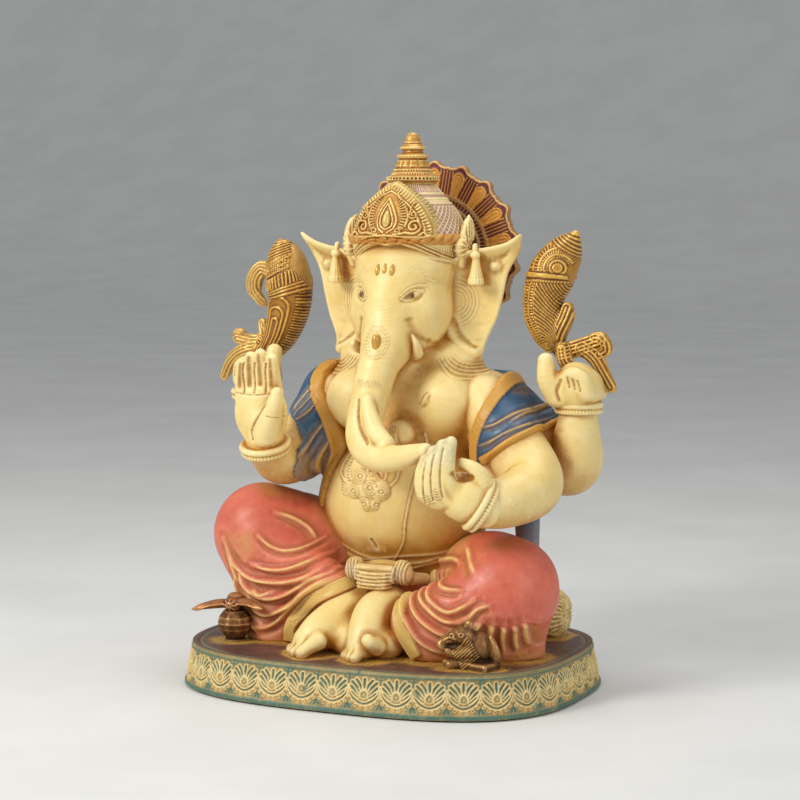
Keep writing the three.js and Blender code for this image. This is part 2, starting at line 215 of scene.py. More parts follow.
POOL = ThreadPoolExecutor(4)
CHUNK = 40000  # points in one call, few enough to stay in a core's cache


def evaluate(field, points):
    """The field at many points, a chunk to a core at a time."""
    chunks = [points[a : a + CHUNK] for a in range(0, len(points), CHUNK)]
    return np.concatenate(list(POOL.map(field, chunks))) if chunks else np.zeros(0, np.float32)


def sculpt(field, lo, hi, step):
    """Surface nets over a field, evaluated finely only near its surface. Returns points, quads and normals."""
    step = step * COARSE
    lo = np.array(lo, float)
    lo = ROOM["lo"] + np.floor((lo - ROOM["lo"]) / step) * step
    n = (np.ceil((np.array(hi, float) - lo) / step).astype(int) + 1)
    big = 5
    m = (np.ceil((n - 1) / big).astype(int) + 1)
    axes = [(lo[i] + step * big * np.arange(m[i])).astype(np.float32) for i in range(3)]
    coarse = evaluate(field, np.stack(np.meshgrid(*axes, indexing="ij"), -1).reshape(-1, 3)).reshape(m)
    full = np.repeat(np.repeat(np.repeat(coarse, big, 0), big, 1), big, 2)
    shift = big // 2
    values = np.empty(n, np.float32)
    index = [np.minimum(np.arange(n[i]) + shift, full.shape[i] - 1) for i in range(3)]
    values[:] = full[np.ix_(*index)]
    near = np.abs(values) < step * big * 1.5
    ids = np.nonzero(near)
    points = np.stack([lo[i] + step * ids[i] for i in range(3)], 1).astype(np.float32)
    values[ids] = evaluate(field, points)
    fill_room(lo, step, values)

    inside = values < 0
    corners = [(dx, dy, dz) for dx in (0, 1) for dy in (0, 1) for dz in (0, 1)]

    def shifted(array, d):
        return array[d[0] : n[0] - 1 + d[0], d[1] : n[1] - 1 + d[1], d[2] : n[2] - 1 + d[2]]

    count = np.zeros(tuple(n - 1), np.int8)
    for d in corners:
        count += shifted(inside, d)
    cells = np.nonzero((count > 0) & (count < 8))
    number = np.full(tuple(n - 1), -1, np.int32)
    number[cells] = np.arange(len(cells[0]))
    corner_values = {d: values[cells[0] + d[0], cells[1] + d[1], cells[2] + d[2]] for d in corners}
    total = np.zeros((len(cells[0]), 3), np.float32)
    hits = np.zeros(len(cells[0]), np.float32)
    for d in corners:
        for axis in range(3):
            if d[axis]:
                continue
            e = tuple(1 if i == axis else d[i] for i in range(3))
            a, b = corner_values[d], corner_values[e]
            crossing = (a < 0) != (b < 0)
            t = np.where(crossing, a / np.where(crossing, a - b, 1), 0)
            for i in range(3):
                total[:, i] += np.where(crossing, d[i] + (t if i == axis else 0), 0)
            hits += crossing
    verts = total / hits[:, None] + np.stack(cells, 1)
    verts = (lo + step * verts).astype(np.float32)

    quads = []
    for axis in range(3):
        u, v = [i for i in range(3) if i != axis]
        a = [slice(None)] * 3
        b = [slice(None)] * 3
        a[axis], b[axis] = slice(0, -1), slice(1, None)
        low, high = inside[tuple(a)], inside[tuple(b)]
        at = np.stack(np.nonzero(low != high), 1)
        ok = (at[:, u] > 0) & (at[:, v] > 0) & (at[:, u] < n[u] - 1) & (at[:, v] < n[v] - 1)
        at = at[ok]
        goes_out = low[tuple(at.T)]
        around = []
        for du, dv in ((1, 1), (0, 1), (0, 0), (1, 0)):
            c = at.copy()
            c[:, u] -= du
            c[:, v] -= dv
            around.append(number[tuple(c.T)])
        q = np.stack(around, 1)
        flip = goes_out if axis == 1 else ~goes_out
        q[flip] = q[flip][:, ::-1]
        quads.append(q)
    quads = np.concatenate(quads)
    for _ in range(2):
        g, d = slope(field, verts, step * 0.5)
        verts -= np.clip(d, -step, step)[:, None] * g
    g, _ = slope(field, verts, step * 0.6)
    return verts, quads, g


def slope(field, p, e):
    """Unit gradient and value of a field."""
    corners = np.array([[1, -1, -1], [-1, -1, 1], [-1, 1, -1], [1, 1, 1]], np.float32)
    g = np.zeros_like(p)
    total = np.zeros(len(p), np.float32)
    for c in corners:
        v = evaluate(field, p + c * np.float32(e))
        g += v[:, None] * c
        total += v
    length = np.linalg.norm(g, axis=1)
    return g / np.maximum(length, 1e-9)[:, None], total / 4


# ---------------------------------------------------------------- pieces
class Piece:
    """A mesh in the making: points, four-sided faces, normals and painted masks, all in millimetres."""

    def __init__(self, name, points, faces, normals=None):
        self.name = name
        self.p = np.asarray(points, np.float32)
        self.faces = faces
        self.masks = {}
        self.edges = None
        self.n = self.face_normals() if normals is None else normals

    def mask(self, name):
        if name not in self.masks:
            self.masks[name] = np.zeros(len(self.p), np.float32)
        return self.masks[name]

    def paint(self, name, amount):
        m = self.mask(name)
        np.maximum(m, np.clip(amount, 0, 1), out=m)

    def face_normals(self):
        n = np.zeros_like(self.p)
        a, b, c, d = (self.p[self.faces[:, k]] for k in range(4))
        f = np.cross(c - a, d - b)
        for k in range(4):
            for i in range(3):
                n[:, i] += np.bincount(self.faces[:, k], f[:, i], len(self.p)).astype(np.float32)
        return n / np.maximum(np.linalg.norm(n, axis=1), 1e-9)[:, None]

    def level(self):
        """A height of nothing at each point, for relief to be added to."""
        return np.zeros(len(self.p), np.float32)

    def raise_by(self, height):
        self.p = self.p + self.n * np.asarray(height, np.float32)[:, None]

    def links(self):
        if self.edges is None:
            sides = [self.faces[:, [k, (k + 1) % 4]] for k in range(4)]
            self.edges = np.unique(np.sort(np.concatenate(sides), 1), axis=0)
        return self.edges

    def blur(self, values, times):
        e = self.links()
        count = np.bincount(e.ravel(), minlength=len(self.p)).astype(np.float32)
        v = values.astype(np.float32)
        flat_v = v.reshape(len(v), -1)
        for _ in range(times):
            out = np.empty_like(flat_v)
            for i in range(flat_v.shape[1]):
                s = (np.bincount(e[:, 0], flat_v[e[:, 1], i], len(self.p))
                     + np.bincount(e[:, 1], flat_v[e[:, 0], i], len(self.p)))
                out[:, i] = (flat_v[:, i] + s) / (count + 1)
            flat_v = out
        return flat_v.reshape(v.shape)


made = []


def shape(name, field, lo, hi, step, soften=3):
    """A sculpted piece, with its seams between fields eased by a few rounds of smoothing."""
    points, quads, normals = sculpt(field, lo, hi, step)
    piece = Piece(name, points, quads, normals)
    piece.p = piece.blur(piece.p, max(1, int(soften / COARSE)))
    piece.n = piece.face_normals()
    if (piece.n * normals).sum(1).mean() < 0:
        piece.faces = piece.faces[:, ::-1]
        piece.n = -piece.n
    made.append(piece)
    return piece


def line_distance(p, line):
    """Least distance from points to a polyline, in as many dimensions as both have."""
    line = np.asarray(line, np.float32)
    best = np.full(len(p), 1e6, np.float32)
    for a, b in zip(line[:-1], line[1:]):
        ab = b - a
        t = np.clip((p - a) @ ab / max(float(ab @ ab), 1e-9), 0, 1)
        away = p - a - t[:, None] * ab
        np.minimum(best, (away * away).sum(1), out=best)
    return np.sqrt(best)


def stroke(piece, line, width, height, axes=(0, 2), where=None, smooth=4, ink=None, ink_width=1.0):
    """A raised (or, with a negative height, incised) line on a piece. Returns the height added at each point."""
    line = smooth_line(line, smooth) if smooth else np.array(line, float)
    q = piece.p[:, list(axes)]
    reach = width * 3
    near = np.all((q > line.min(0) - reach) & (q < line.max(0) + reach), axis=1)
    if where is not None:
        near &= where
    out = piece.level()
    ids = np.nonzero(near)[0]
    if len(ids):
        d = line_distance(q[ids], line)
        out[ids] = height * np.exp(-((d / width) ** 2))
        if ink:
            piece.mask(ink)[ids] = np.maximum(piece.mask(ink)[ids], np.exp(-((d / (width * ink_width)) ** 4)))
    return out


def along(q, line):
    """Signed distance (positive to the left of travel) and length along, from points to a polyline in a plane."""
    line = np.asarray(line, np.float32)
    best = np.full(len(q), 1e12, np.float32)
    side = np.zeros(len(q), np.float32)
    place = np.zeros(len(q), np.float32)
    run = 0.0
    for a, b in zip(line[:-1], line[1:]):
        ab = b - a
        length = float(np.hypot(*ab))
        if length < 1e-6:
            continue
        t = np.clip((q - a) @ ab / length ** 2, 0, 1)
        away = q - a - t[:, None] * ab
        d2 = (away * away).sum(1)
        closer = d2 < best
        best = np.where(closer, d2, best)
        side = np.where(closer, np.sign(ab[0] * away[:, 1] - ab[1] * away[:, 0]), side)
        place = np.where(closer, run + t * length, place)
        run += length
    return np.sqrt(best) * side, place, run


def rise(x, low, high):
    """A smooth step from 0 at low to 1 at high."""
    t = np.clip((x - low) / (high - low), 0, 1)
    return t * t * (3 - 2 * t)


def hump(x, width):
    """A bell curve: 1 where x is 0, and falling off over about the width."""
    return np.exp(-((x / width) ** 2))


def facing(piece, direction, least=0.1):
    return piece.n @ unit(direction).astype(np.float32) > least


FRONT = (0, -1, 0)
SIDES = (("right", -1), ("left", 1))


def sided(side, points):
    """Mirrors x for the idol's right; every point's first number is x."""
    return [(side * q[0], *q[1:]) for q in points]


def pattern(seed, scale):
    """A smooth random field made from a few waves, for uneven hand work."""
    r = np.random.default_rng(seed)
    waves = r.normal(size=(14, 3)).astype(np.float32) * (math.tau / scale)
    phase = r.uniform(0, math.tau, 14).astype(np.float32)
    return lambda p: np.sin(p @ waves.T + phase).mean(1) * 2


# ---------------------------------------------------------------- torso
torso = shape("torso_sculpt", join(
    16,
    join(
        18,
        ball((0, 46, 233), (115, 93, 94)),
        ball((0, 62, 340), (97, 58, 82)),
        tube([(-108, 64, 374, 36), (0, 64, 386, 40), (108, 64, 374, 36)]),
        tube([(0, 58, 392, 56), (0, 46, 440, 50)], 1),
        ball((0, 64, 165), (104, 80, 46)),
        ball((56, 58, 424), (44, 40, 30)),
        ball((-56, 58, 424), (44, 40, 30)),
        tube([(110, 52, 360, 34), (134, 40, 304, 34), (122, 46, 256, 28)], 3),
    ),
    ball((58, 26, 369), (47, 36, 43), z=-14),
    ball((-58, 26, 369), (47, 36, 43), z=14),
    ball((14, -6, 330), (17, 12, 15)),
), (-160, -55, 112), (160, 150, 470), 1.5, 5)
front = facing(torso, FRONT, -0.1)
lift = torso.level()
# painted shade in the navel
lift += stroke(torso, [(-13, 192), (-10, 186), (-9, 182)], 1.8, -3.4, where=front, ink="hollow")
lift += stroke(torso, [(-20, 178), (-9, 176.5), (2, 178)], 5.0, 0.8, where=front)
for side in (-1, 1):
    for k in range(5):
        reach = 27 + 4.6 * k
        arc = [(side * (98 + reach * math.cos(a)), 446 + reach * math.sin(a))
               for a in np.radians(np.linspace(-150, -35, 9))]
        lift += stroke(torso, arc, 1.0, 0.7, where=front, ink="line", ink_width=0.4)
    for k in range(3):
        twig = [(side * 49 - 6 + 5 * k, 366 + 3 * k), (side * 49 - 2 + 3 * k, 372 + 2 * k),
                (side * 49 + 2 + 2 * k, 380 + k)]
        lift += stroke(torso, twig, 1.3, 1.2, where=front, smooth=3, ink="line", ink_width=0.6)
    lift += stroke(torso, [(side * 49, 372), (side * 49, 374)], 3.0, 1.4, where=front, smooth=0)
thread = [(43, 330), (46, 310), (46, 288), (43, 254), (36, 214), (30, 190), (8, 160)]
lift += stroke(torso, thread, 1.1, 1.3, where=front, ink="line", ink_width=0.5)
for k, top in enumerate((168, 161, 153)):
    band_line = [(x, top + 0.0021 * x * x + 2.2 * math.sin(0.06 * x + 2 * k)) for x in np.linspace(-108, 108, 19)]
    lift += stroke(torso, band_line, 2.4, 1.5, where=front)
for side, inner, outer in ((-1, -62, -44), (1, 2, 18)):
    for x in (inner, outer):
        drop = [(x - 6 * side, 330), (x, 300), (x + 5 * side, 276), (x - 0.3 * x, 262)]
        lift += stroke(torso, drop, 1.4, 1.2, where=front)
for k in range(12):
    z = 292 - 3.6 * k
    lift += stroke(torso, [(-60 + 0.4 * k, z), (-53 + 0.5 * k, z - 2.4), (-46 + 0.6 * k, z)], 1.0, 0.8, where=front,
                   smooth=2)
lift += stroke(torso, [(-50, 300), (-56, 280), (-50, 262)], 5.0, 1.6, where=front)
for k in range(5):
    lift += stroke(torso, [(-6 + 5 * k, 338 - abs(k - 2)), (4 + 2.4 * k, 322), (10, 312)], 1.2, 1.4, where=front)
torso.raise_by(lift)
# Painted shade in ochre: under the belly and over the lower torso, more on the idol's left side and lower down; also
# an ochre band across the middle of the chest.
torso.paint("ochre_and_shade", rise(178 - torso.p[:, 2], 0, 26) * 0.85 + (0.22 + 0.45 * rise(torso.p[:, 0], -30, 90)
                                                                + 0.3 * rise(225 - torso.p[:, 2], 0, 60))
            * rise(340 - torso.p[:, 2], 0, 110) + 0.5 * rise(60 - np.abs(torso.p[:, 0] * 0.6), 0, 40)
            * rise(324 - torso.p[:, 2], 0, 8) * rise(torso.p[:, 2] - 302, 0, 8))

# ---------------------------------------------------------------- head and trunk
trunk_top = tube([(0, 2, 520, 26), (0, -14, 488, 27), (1, -20, 462, 29), (1, -24, 440, 30)], 8)
trunk = join(5, tube([(1, -22, 446, 29), (-3, -40, 415, 26), (-7, -53, 380, 24), (-9, -64, 352, 23.5),
                      (-6, -76, 330, 22.5), (8, -88, 315, 21),
              (32, -102, 309, 18.5), (58, -113, 311, 16), (82, -120, 317, 13.5), (103, -126, 323, 10.5)], 9),
             tube([(-1, -76, 376, 8), (8, -84, 358, 10.5), (20, -92, 340, 12), (38, -102, 326, 12)], 7))
head = shape("head_and_trunk", cut(
    4,
    join(
        9,
        join(
            26,
            join(
                16,
                ball((0, 44, 500), (65, 70, 70)),
                ball((0, 50, 546), (70, 68, 53)),
                ball((40, 22, 484), (26, 36, 38)),
                ball((-40, 22, 484), (26, 36, 38)),
                ball((0, 16, 456), (50, 40, 28)),
            ),
            trunk_top,
        ),
        trunk,
    ),
    ball((41, -20, 510), (12, 8, 7.5), y=-22, z=38),
    ball((-41, -20, 510), (12, 8, 7.5), y=22, z=-38),
), (-82, -148, 288), (122, 120, 604), 1.3, 5)
front = facing(head, FRONT, -0.35)
lift = head.level()
for side in (-1, 1):
    where = front & (side * head.p[:, 0] > 18)
    lift += stroke(head, sided(side, [(25, 505), (30, 512), (37, 516), (46, 516)]), 1.0, 1.2, where=where,
                   ink="line", ink_width=0.6)
    lift += stroke(head, sided(side, [(25, 505), (32, 503), (40, 506), (46, 514)]), 1.0, 1.0, where=where)
    lift += stroke(head, sided(side, [(24, 509), (30, 517), (39, 522), (49, 522)]), 1.1, 0.5, where=where)
    for k in range(3):
        lift += stroke(head, sided(side, [(28, 498 - 3.4 * k), (37, 497 - 3.4 * k), (47, 503 - 3.4 * k)]), 1.3,
                       0.22 - 0.05 * k,
                       where=where)
    for k in range(14):
        t = k / 13
        x, z = 27 + 28 * t, 534 + 12 * math.sin(math.pi * min(t * 1.3, 1)) - 16 * max(t - 0.6, 0)
        lift += stroke(head, sided(side, [(x, z), (x + 0.1, z + 0.1)]), 0.9, 0.4, where=where, smooth=0, ink="line",
                       ink_width=0.4)
    for k in range(3):
        lift += stroke(head, sided(side, [(44 + 3 * k, 566 - k), (52 + 3 * k, 558), (66 + 2 * k, 552)]), 1.2, 0.7,
                       where=where)
    lift += stroke(head, sided(side, [(35, 478), (38, 468), (42, 458), (50, 448)]), 4.4, -2.0, where=where)
    lift += stroke(head, sided(side, [(37, 434), (45, 440), (52, 452)]), 2.0, -1.0, where=where)
on_trunk = front & (np.abs(head.p[:, 0] - 1) < 34)
for rx, rz, h in ((15.5, 19.5, 0.5), (12, 16, 0.5)):
    ring = [(1 + rx * math.cos(a), 450 + rz * math.sin(a)) for a in np.linspace(0, math.tau, 25)]
    lift += stroke(head, ring, 0.8, h, where=on_trunk, smooth=0, ink="line", ink_width=0.7)
for k in range(26):
    a = math.tau * k / 26
    dot = (1 + 13.8 * math.cos(a), 450 + 17.8 * math.sin(a))
    lift += stroke(head, [dot, (dot[0] + 0.1, dot[1])], 0.8, 0.6, where=on_trunk, smooth=0)
for row in range(3):
    for k in range(7):
        x, z = -17 + 4.3 * k + 1.5 * row, 404 - 3.2 * row - 0.4 * k
        lift += stroke(head, [(x, z), (x + 0.1, z)], 1.1, 0.8, where=on_trunk, smooth=0, ink="line", ink_width=1.1)
for k in range(16):
    z = 500 - 5.2 * k
    lift += stroke(head, [(-16, z + 1.4), (0, z - 1.6), (16, z + 1.4)], 1.1, 0.1,
                   where=on_trunk & (head.p[:, 2] > 420), smooth=3)
# painted shade in the groove between the trunk and the lower lip
lift += stroke(head, [(-11, 378), (-8, 358), (1, 340), (14, 327)], 2.2, -3.0, where=front, ink="hollow",
               ink_width=0.8)
for k in range(9):
    lift += stroke(head, [(22, 376 - 2 * k), (32, 372 - 2 * k)], 1.2, 0.4, where=front, smooth=0)
head.raise_by(lift)

eyes = {}
for word, side in SIDES:
    eyes[word] = shape(f"eye_{word}", ball((side * 36.5, -12, 509.5), (11, 7, 5.0), y=-side * 24, z=side * 34),
                       (side * 36.5 - 16, -26, 498), (side * 36.5 + 16, 6, 522), 0.6, 2)
    p = eyes[word].p
    pupil = np.hypot((p[:, 0] * side - 35.5) / 4.4, (p[:, 2] - 509.6) / 4.2)
    eyes[word].paint("ink", 1 - np.clip((pupil - 0.75) / 0.3, 0, 1))
    eyes[word].paint("deep", 1 - np.clip((pupil - 0.28) / 0.2, 0, 1))

shape("tilak_relief", join(
    2.5,
    *[tube([(x, -22, 533, 3.4), (x * 1.12, -24, 541, 3.6), (x * 1.16, -22, 550 - abs(x) * 0.12, 1.3)], 3)
      for x in (-9, 0, 9)],
    tube([(-12, -22, 534, 2.6), (0, -26, 530.5, 3), (12, -22, 534, 2.6)], 3),
), (-19, -34, 524), (19, -8, 556), 0.8)
shape("trunk_jewel_relief", ball((2, -53, 449), (6.4, 7, 13.5), x=10), (-12, -68, 430), (16, -38, 468), 0.8)
shape("tusk_left_stub", tube([(30, 4, 434, 10), (41, -12, 436, 7.5), (44, -23, 448, 4.6), (41, -28, 459, 1.8)], 6),
      (14, -46, 420), (60, 20, 472), 1.0)
shape("tusk_right_stub", tube([(-30, 4, 438, 10), (-42, -14, 440, 7.5), (-45, -22, 446, 5.5)], 4),
      (-60, -40, 422), (-14, 20, 464), 1.0)

# ---------------------------------------------------------------- ears
EAR_LINE = [(56, 548), (73, 559), (92, 567), (115, 571), (138, 577), (157, 588), (159, 585), (150, 562), (137, 538),
            (129, 503), (122, 478), (113, 458), (108, 444), (106, 432), (94, 425), (72, 428), (50, 440), (44, 480),
            (48, 515)]


def outline_distance(q, line):
    """Signed distance in a plane to a closed outline, negative inside."""
    line = np.asarray(line, np.float32)
    best = np.full(len(q), 1e12, np.float32)
    sign = np.zeros(len(q), bool)
    for a, b in zip(line, np.roll(line, -1, 0)):
        ab = b - a
        t = np.clip((q - a) @ ab / max(float(ab @ ab), 1e-9), 0, 1)
        away = q - a - t[:, None] * ab
        np.minimum(best, (away * away).sum(1), out=best)
        crosses = (a[1] > q[:, 1]) != (b[1] > q[:, 1])
        denominator = b[1] - a[1] if abs(b[1] - a[1]) > 1e-9 else 1e-9
        sign ^= crosses & (q[:, 0] < (b[0] - a[0]) * (q[:, 1] - a[1]) / denominator + a[0])
    d = np.sqrt(best)
    return np.where(sign, -d, d)


ear_line = smooth_line(EAR_LINE + EAR_LINE[:1], 3)[:-1]


def ear_field(p):
    """The left ear: a bowed sheet inside the ear's outline, thicker at its rim and lobe."""
    x, y, z = p.T
    mid = 47 + (x - 74) * 0.25 + 8 * np.exp(-(((x - 96) / 26) ** 2 + ((z - 500) / 42) ** 2))
    mid = mid - 12 * np.clip((450 - z) / 40, 0, 1) - 17 * rise(z - 0.2 * (x - 74), 546, 572)
    edge = outline_distance(p[:, [0, 2]], ear_line)
    rim = 4.2 * hump(edge + 7, 7) * rise(z - 0.2 * (x - 74), 530, 556)
    lobe = 5 * np.clip((470 - z) / 40, 0, 1)
    across = np.abs(y - mid) / 1.03 - (3.2 + rim + lobe * np.clip(-edge / 14, 0, 1))
    k = 4.0
    h = np.clip(0.5 + 0.5 * (edge - across) / k, 0, 1)
    return across + (edge - across) * h + k * h * (1 - h)


for word, side in SIDES:
    field = ear_field if side > 0 else mirror(ear_field)
    low, high = ((44, 6, 404), (168, 92, 598)) if side > 0 else ((-168, 6, 404), (-44, 92, 598))
    ear = shape(f"ear_{word}_sculpt", field, low, high, 1.3, 4)
    inward = facing(ear, FRONT, 0.1)
    lift = ear.level()
    for r in (9, 13, 17, 21, 25):
        arc = [(side * (70 + r * math.cos(a)), 500 + 1.25 * r * math.sin(a))
               for a in np.radians(np.linspace(-75, 80, 9))]
        lift += stroke(ear, arc, 1.1, 0.3, where=inward, ink="line", ink_width=0.25)
    lift += stroke(ear, sided(side, [(58, 540), (60, 515), (57, 492), (60, 470), (70, 450), (84, 440), (98, 434)]),
                   5.5, 5.5,
                   where=inward)
    lift += stroke(ear, sided(side, [(68, 476), (78, 456), (97, 440)]), 3.0, -1.4, where=inward)
    lift += stroke(ear, sided(side, [(120, 546), (121, 546)]), 5.5, 6, where=inward, smooth=0)
    ear.raise_by(lift)

for word, side in SIDES:
    def bell(p, side=side):
        q = p - np.array([side * 101, 38, 536], np.float32)
        a = np.arctan2(q[:, 1], q[:, 0])
        r = np.hypot(q[:, 0], q[:, 1])
        along = q[:, 2]
        width = np.interp(along, [-14, -12, -6, -5, 8, 20, 27], [9.5, 10.6, 10.2, 9.4, 6.5, 4.6, 4.2])
        width = width + 0.5 * np.cos(14 * a)
        return np.maximum(r - width, np.abs(along - 7) - 21) * 0.7

    body = join(2, bell, tube([(side * 100, 38, 560, 5), (side * 99, 40, 572, 4)], 1),
                ball((side * 100, 37, 561), (7, 6, 5)))
    shape(f"ear_tassel_{word}_sculpt", body, (side * 101 - 15, 22, 518), (side * 101 + 15, 54, 580), 0.9)

# ---------------------------------------------------------------- arms
ARM_LINES = {
    "rear_right": [(-106, 84, 366, 34), (-140, 86, 326, 33), (-176, 86, 298, 32), (-208, 82, 300, 29),
                   (-228, 68, 326, 26),
                   (-236, 58, 366, 22)],
    "rear_left": [(110, 84, 368, 38), (162, 84, 328, 41), (206, 80, 290, 40), (226, 72, 298, 37), (234, 60, 335, 29),
                  (236, 58, 366, 23)],
    "front_right": [(-112, 48, 366, 36), (-128, 26, 326, 38), (-140, -4, 296, 36), (-146, -36, 290, 32),
                    (-148, -62, 302, 27),
                    (-147, -76, 316, 25)],
    "front_left": [(112, 48, 368, 39), (158, 22, 322, 40), (198, -8, 284, 39), (206, -38, 268, 36),
                   (188, -80, 258, 32),
                   (166, -104, 256, 28)],
}
arms = {}
for name, line in ARM_LINES.items():
    pts = np.array(line)
    low, high = pts[:, :3].min(0) - 46, pts[:, :3].max(0) + 46
    arms[name] = shape(f"{name}_arm", tube(line, 12), low, high, 1.7, 8)
    # painted shade in ochre on the arms' undersides
    arms[name].paint("ochre_and_shade", 0.1 + 0.95 * rise(-arms[name].n[:, 2], -0.1, 0.9)
                     * (0.85 + 0.25 * pattern(22, 80)(arms[name].p)))

# ---------------------------------------------------------------- bracelets
BRACELETS = {
    "rear_right": ((-236, 58, 367), (0, 0, 1), 31),
    "rear_left": ((236, 58, 367), (0, 0, 1), 32),
    "front_right": ((-147, -76, 312), (0.02, -0.34, 1), 34),
    "front_left": ((168, -103, 256), (-0.72, -0.42, 0.5), 36),
}
for name, (centre, axis, radius) in BRACELETS.items():
    axis = unit(axis).astype(np.float32)
    c = np.array(centre, np.float32)
    u = unit(np.cross(axis, (0, 1, 0.3))).astype(np.float32)
    v = np.cross(axis, u).astype(np.float32)

    def ring(p, c=c, axis=axis, u=u, v=v, radius=radius):
        q = p - c
        h = q @ axis
        x, y = q @ u, q @ v
        r = np.hypot(x, y)
        a = np.arctan2(y, x)
        rope = np.hypot(r - (radius - 3.5), h - 3.2) - 4.0
        beads = np.hypot(r - (radius - 4.5), h + 4.4) - 3.4 - 0.9 * np.cos(44 * a)
        core = np.maximum(np.abs(r - (radius - 9)) - 6, np.abs(h) - 7.5)
        d = np.minimum(rope, beads)
        k = np.clip(0.5 + 0.5 * (core - d) / 1.5, 0, 1)
        return (core + (d - core) * k - 1.5 * k * (1 - k)) * 0.8

    shape(f"{name}_bracelet_sculpt", ring, c - radius - 4, c + radius + 4, 1.1)

# ---------------------------------------------------------------- hands
def finger(points, radii):
    return tube([(*q, r) for q, r in zip(points, radii)], 4)


raised = join(
    6,
    flat(ball((-149, -84, 356), (38, 26, 44)), (-149, -84, 356), (0, 1, 0.15), 1.45),
    tube([(-147, -76, 314, 25), (-148, -80, 345, 26)], 1),
    finger([(-174, -86, 378), (-173, -91, 398), (-168, -99, 421)], (10.2, 9.4, 7.4)),
    finger([(-159, -86, 386), (-159, -92, 408), (-155, -101, 430)], (10.2, 9.5, 7.6)),
    finger([(-143, -86, 388), (-143, -93, 411), (-140, -102, 434)], (10.4, 9.8, 7.8)),
    finger([(-127, -86, 386), (-127, -92, 406), (-124, -101, 428)], (10.4, 9.6, 7.6)),
    tube([(-138, -92, 330, 19), (-126, -102, 352, 15), (-117, -106, 372, 11), (-114, -107, 386, 7.5)], 8),
)
hand_fr = shape("front_hand_right_sculpt", raised, (-196, -128, 286), (-98, -42, 452), 1.15, 4)
palm = facing(hand_fr, FRONT, 0.2)
lift = hand_fr.level()
for x, x2, low, high in ((-173.5, -168, 392, 420), (-159, -155, 394, 429), (-143, -140, 396, 433),
                         (-127, -124, 394, 427)):
    lift += stroke(hand_fr, [(x, low), ((x + x2) / 2, (low + high) / 2), (x2, high)], 5.0, -2.2, where=palm,
                   ink="ink", ink_width=0.75)
# painted shade in the grooves between the fingers
for x in (-166.5, -151, -135):
    lift += stroke(hand_fr, [(x, 384), (x + 0.5, 408), (x + 3.5, 422)], 1.4, -2.4, where=palm, ink="hollow",
                   ink_width=0.8)
lift += stroke(hand_fr, [(-184, 383), (-150, 381), (-122, 384)], 1.3, -0.8, where=palm)
lift += stroke(hand_fr, [(-128, 372), (-142, 354), (-152, 336), (-151, 324)], 2.6, -2.8, where=palm)
lift += stroke(hand_fr, [(-100, 352), (-124, 356)], 1.0, -0.6, where=palm, smooth=0)
hand_fr.raise_by(lift)

cupped = join(
    5,
    ball((146, -112, 268), (38, 27, 30), z=-22),
    tube([(174, -102, 256, 27), (152, -108, 262, 28)], 1),
    finger([(118, -128, 262), (107, -139, 274), (106, -142, 296), (108, -136, 314)], (10.5, 10, 9.4, 7.2)),
    finger([(126, -130, 264), (117, -142, 280), (117, -144, 304), (119, -137, 325)], (10.5, 10, 9.6, 7.4)),
    finger([(136, -130, 268), (128, -142, 286), (128, -143, 311), (130, -135, 333)], (10.6, 10.2, 9.8, 7.4)),
    finger([(148, -128, 274), (140, -140, 292), (139, -140, 316), (140, -131, 337)], (10.8, 10.4, 9.8, 7.4)),
    finger([(172, -110, 272), (175, -116, 290), (166, -121, 304), (152, -125, 311)], (15, 12, 9.2, 6.6)),
)
hand_fl = shape("front_hand_left_sculpt", cupped, (88, -160, 226), (210, -66, 352), 1.15, 4)
outer = facing(hand_fl, FRONT, 0.0)
lift = hand_fl.level()
# painted shade in the grooves between the fingers
for line in ([(111, 262), (111, 284), (113, 312)], [(122, 266), (122, 290), (124, 322)],
             [(134, 270), (134, 296), (135, 330)]):
    lift += stroke(hand_fl, line, 1.3, -1.8, where=outer, ink="hollow", ink_width=0.9)
for x, z in ((106, 270), (117, 274), (128, 280)):
    for k in range(4):
        lift += stroke(hand_fl, [(x - 6, z - 3.4 * k), (x, z - 2 - 3.4 * k), (x + 6, z - 3.4 * k)], 0.9, 0.8,
                       where=outer, ink="line", ink_width=0.4)
# painted shade in ochre in the crease of the palm
lift += stroke(hand_fl, [(150, 300), (156, 292), (166, 294)], 3.0, -3.0, where=outer, ink="ochre_and_shade", ink_width=1.6)
hand_fl.raise_by(lift)
tips = np.clip((hand_fl.p[:, 2] - 298) / 26, 0, 1) * (hand_fl.p[:, 0] < 150)
hand_fl.paint("tint", tips * 0.45)

grips = {}
for word, side in SIDES:
    fingers = []
    for k in range(4):
        y = 24 + 15 * k
        fingers.append(finger([(side * 258, y + 6, 388 - k), (side * 254, y, 406 - k),
                               (side * 240, y - 2, 413 - 2 * k),
                               (side * 228, y + 2, 404 - 2 * k)], (10, 9.4, 8.6, 7)))
    field = join(8, ball((side * 236, 48, 394), (28, 30, 32)),
                 tube([(side * 236, 58, 364, 23), (side * 236, 54, 385, 25)], 1),
                 finger([(side * 216, 32, 384), (side * 207, 24, 404), (side * 203, 26, 428)],
                        (16, 14, 10.5)), *fingers)
    low, high = ((184, -10, 342), (276, 96, 446)) if side > 0 else ((-276, -10, 342), (-164, 96, 446))
    if side < 0:  # the right hand sits nearer the body, behind the raised palm
        whole = field
        field = lambda p: whole(p - np.array([16, 0, 0], np.float32))
    grips[word] = shape(f"rear_hand_{word}_sculpt", field, low, high, 1.2, 5)
    near_side = facing(grips[word], FRONT, 0)
    lift = stroke(grips[word], sided(side, [(226, 404), (222, 390), (224, 378)]), 2.6, -2.6, where=near_side)
    for k in range(3):
        lift += stroke(grips[word], sided(side, [(236 + 7 * k, 408 - 2 * k), (238 + 7 * k, 396 - 2 * k)]), 1.6, -1.6,
                       where=near_side, smooth=0)
    grips[word].raise_by(lift)


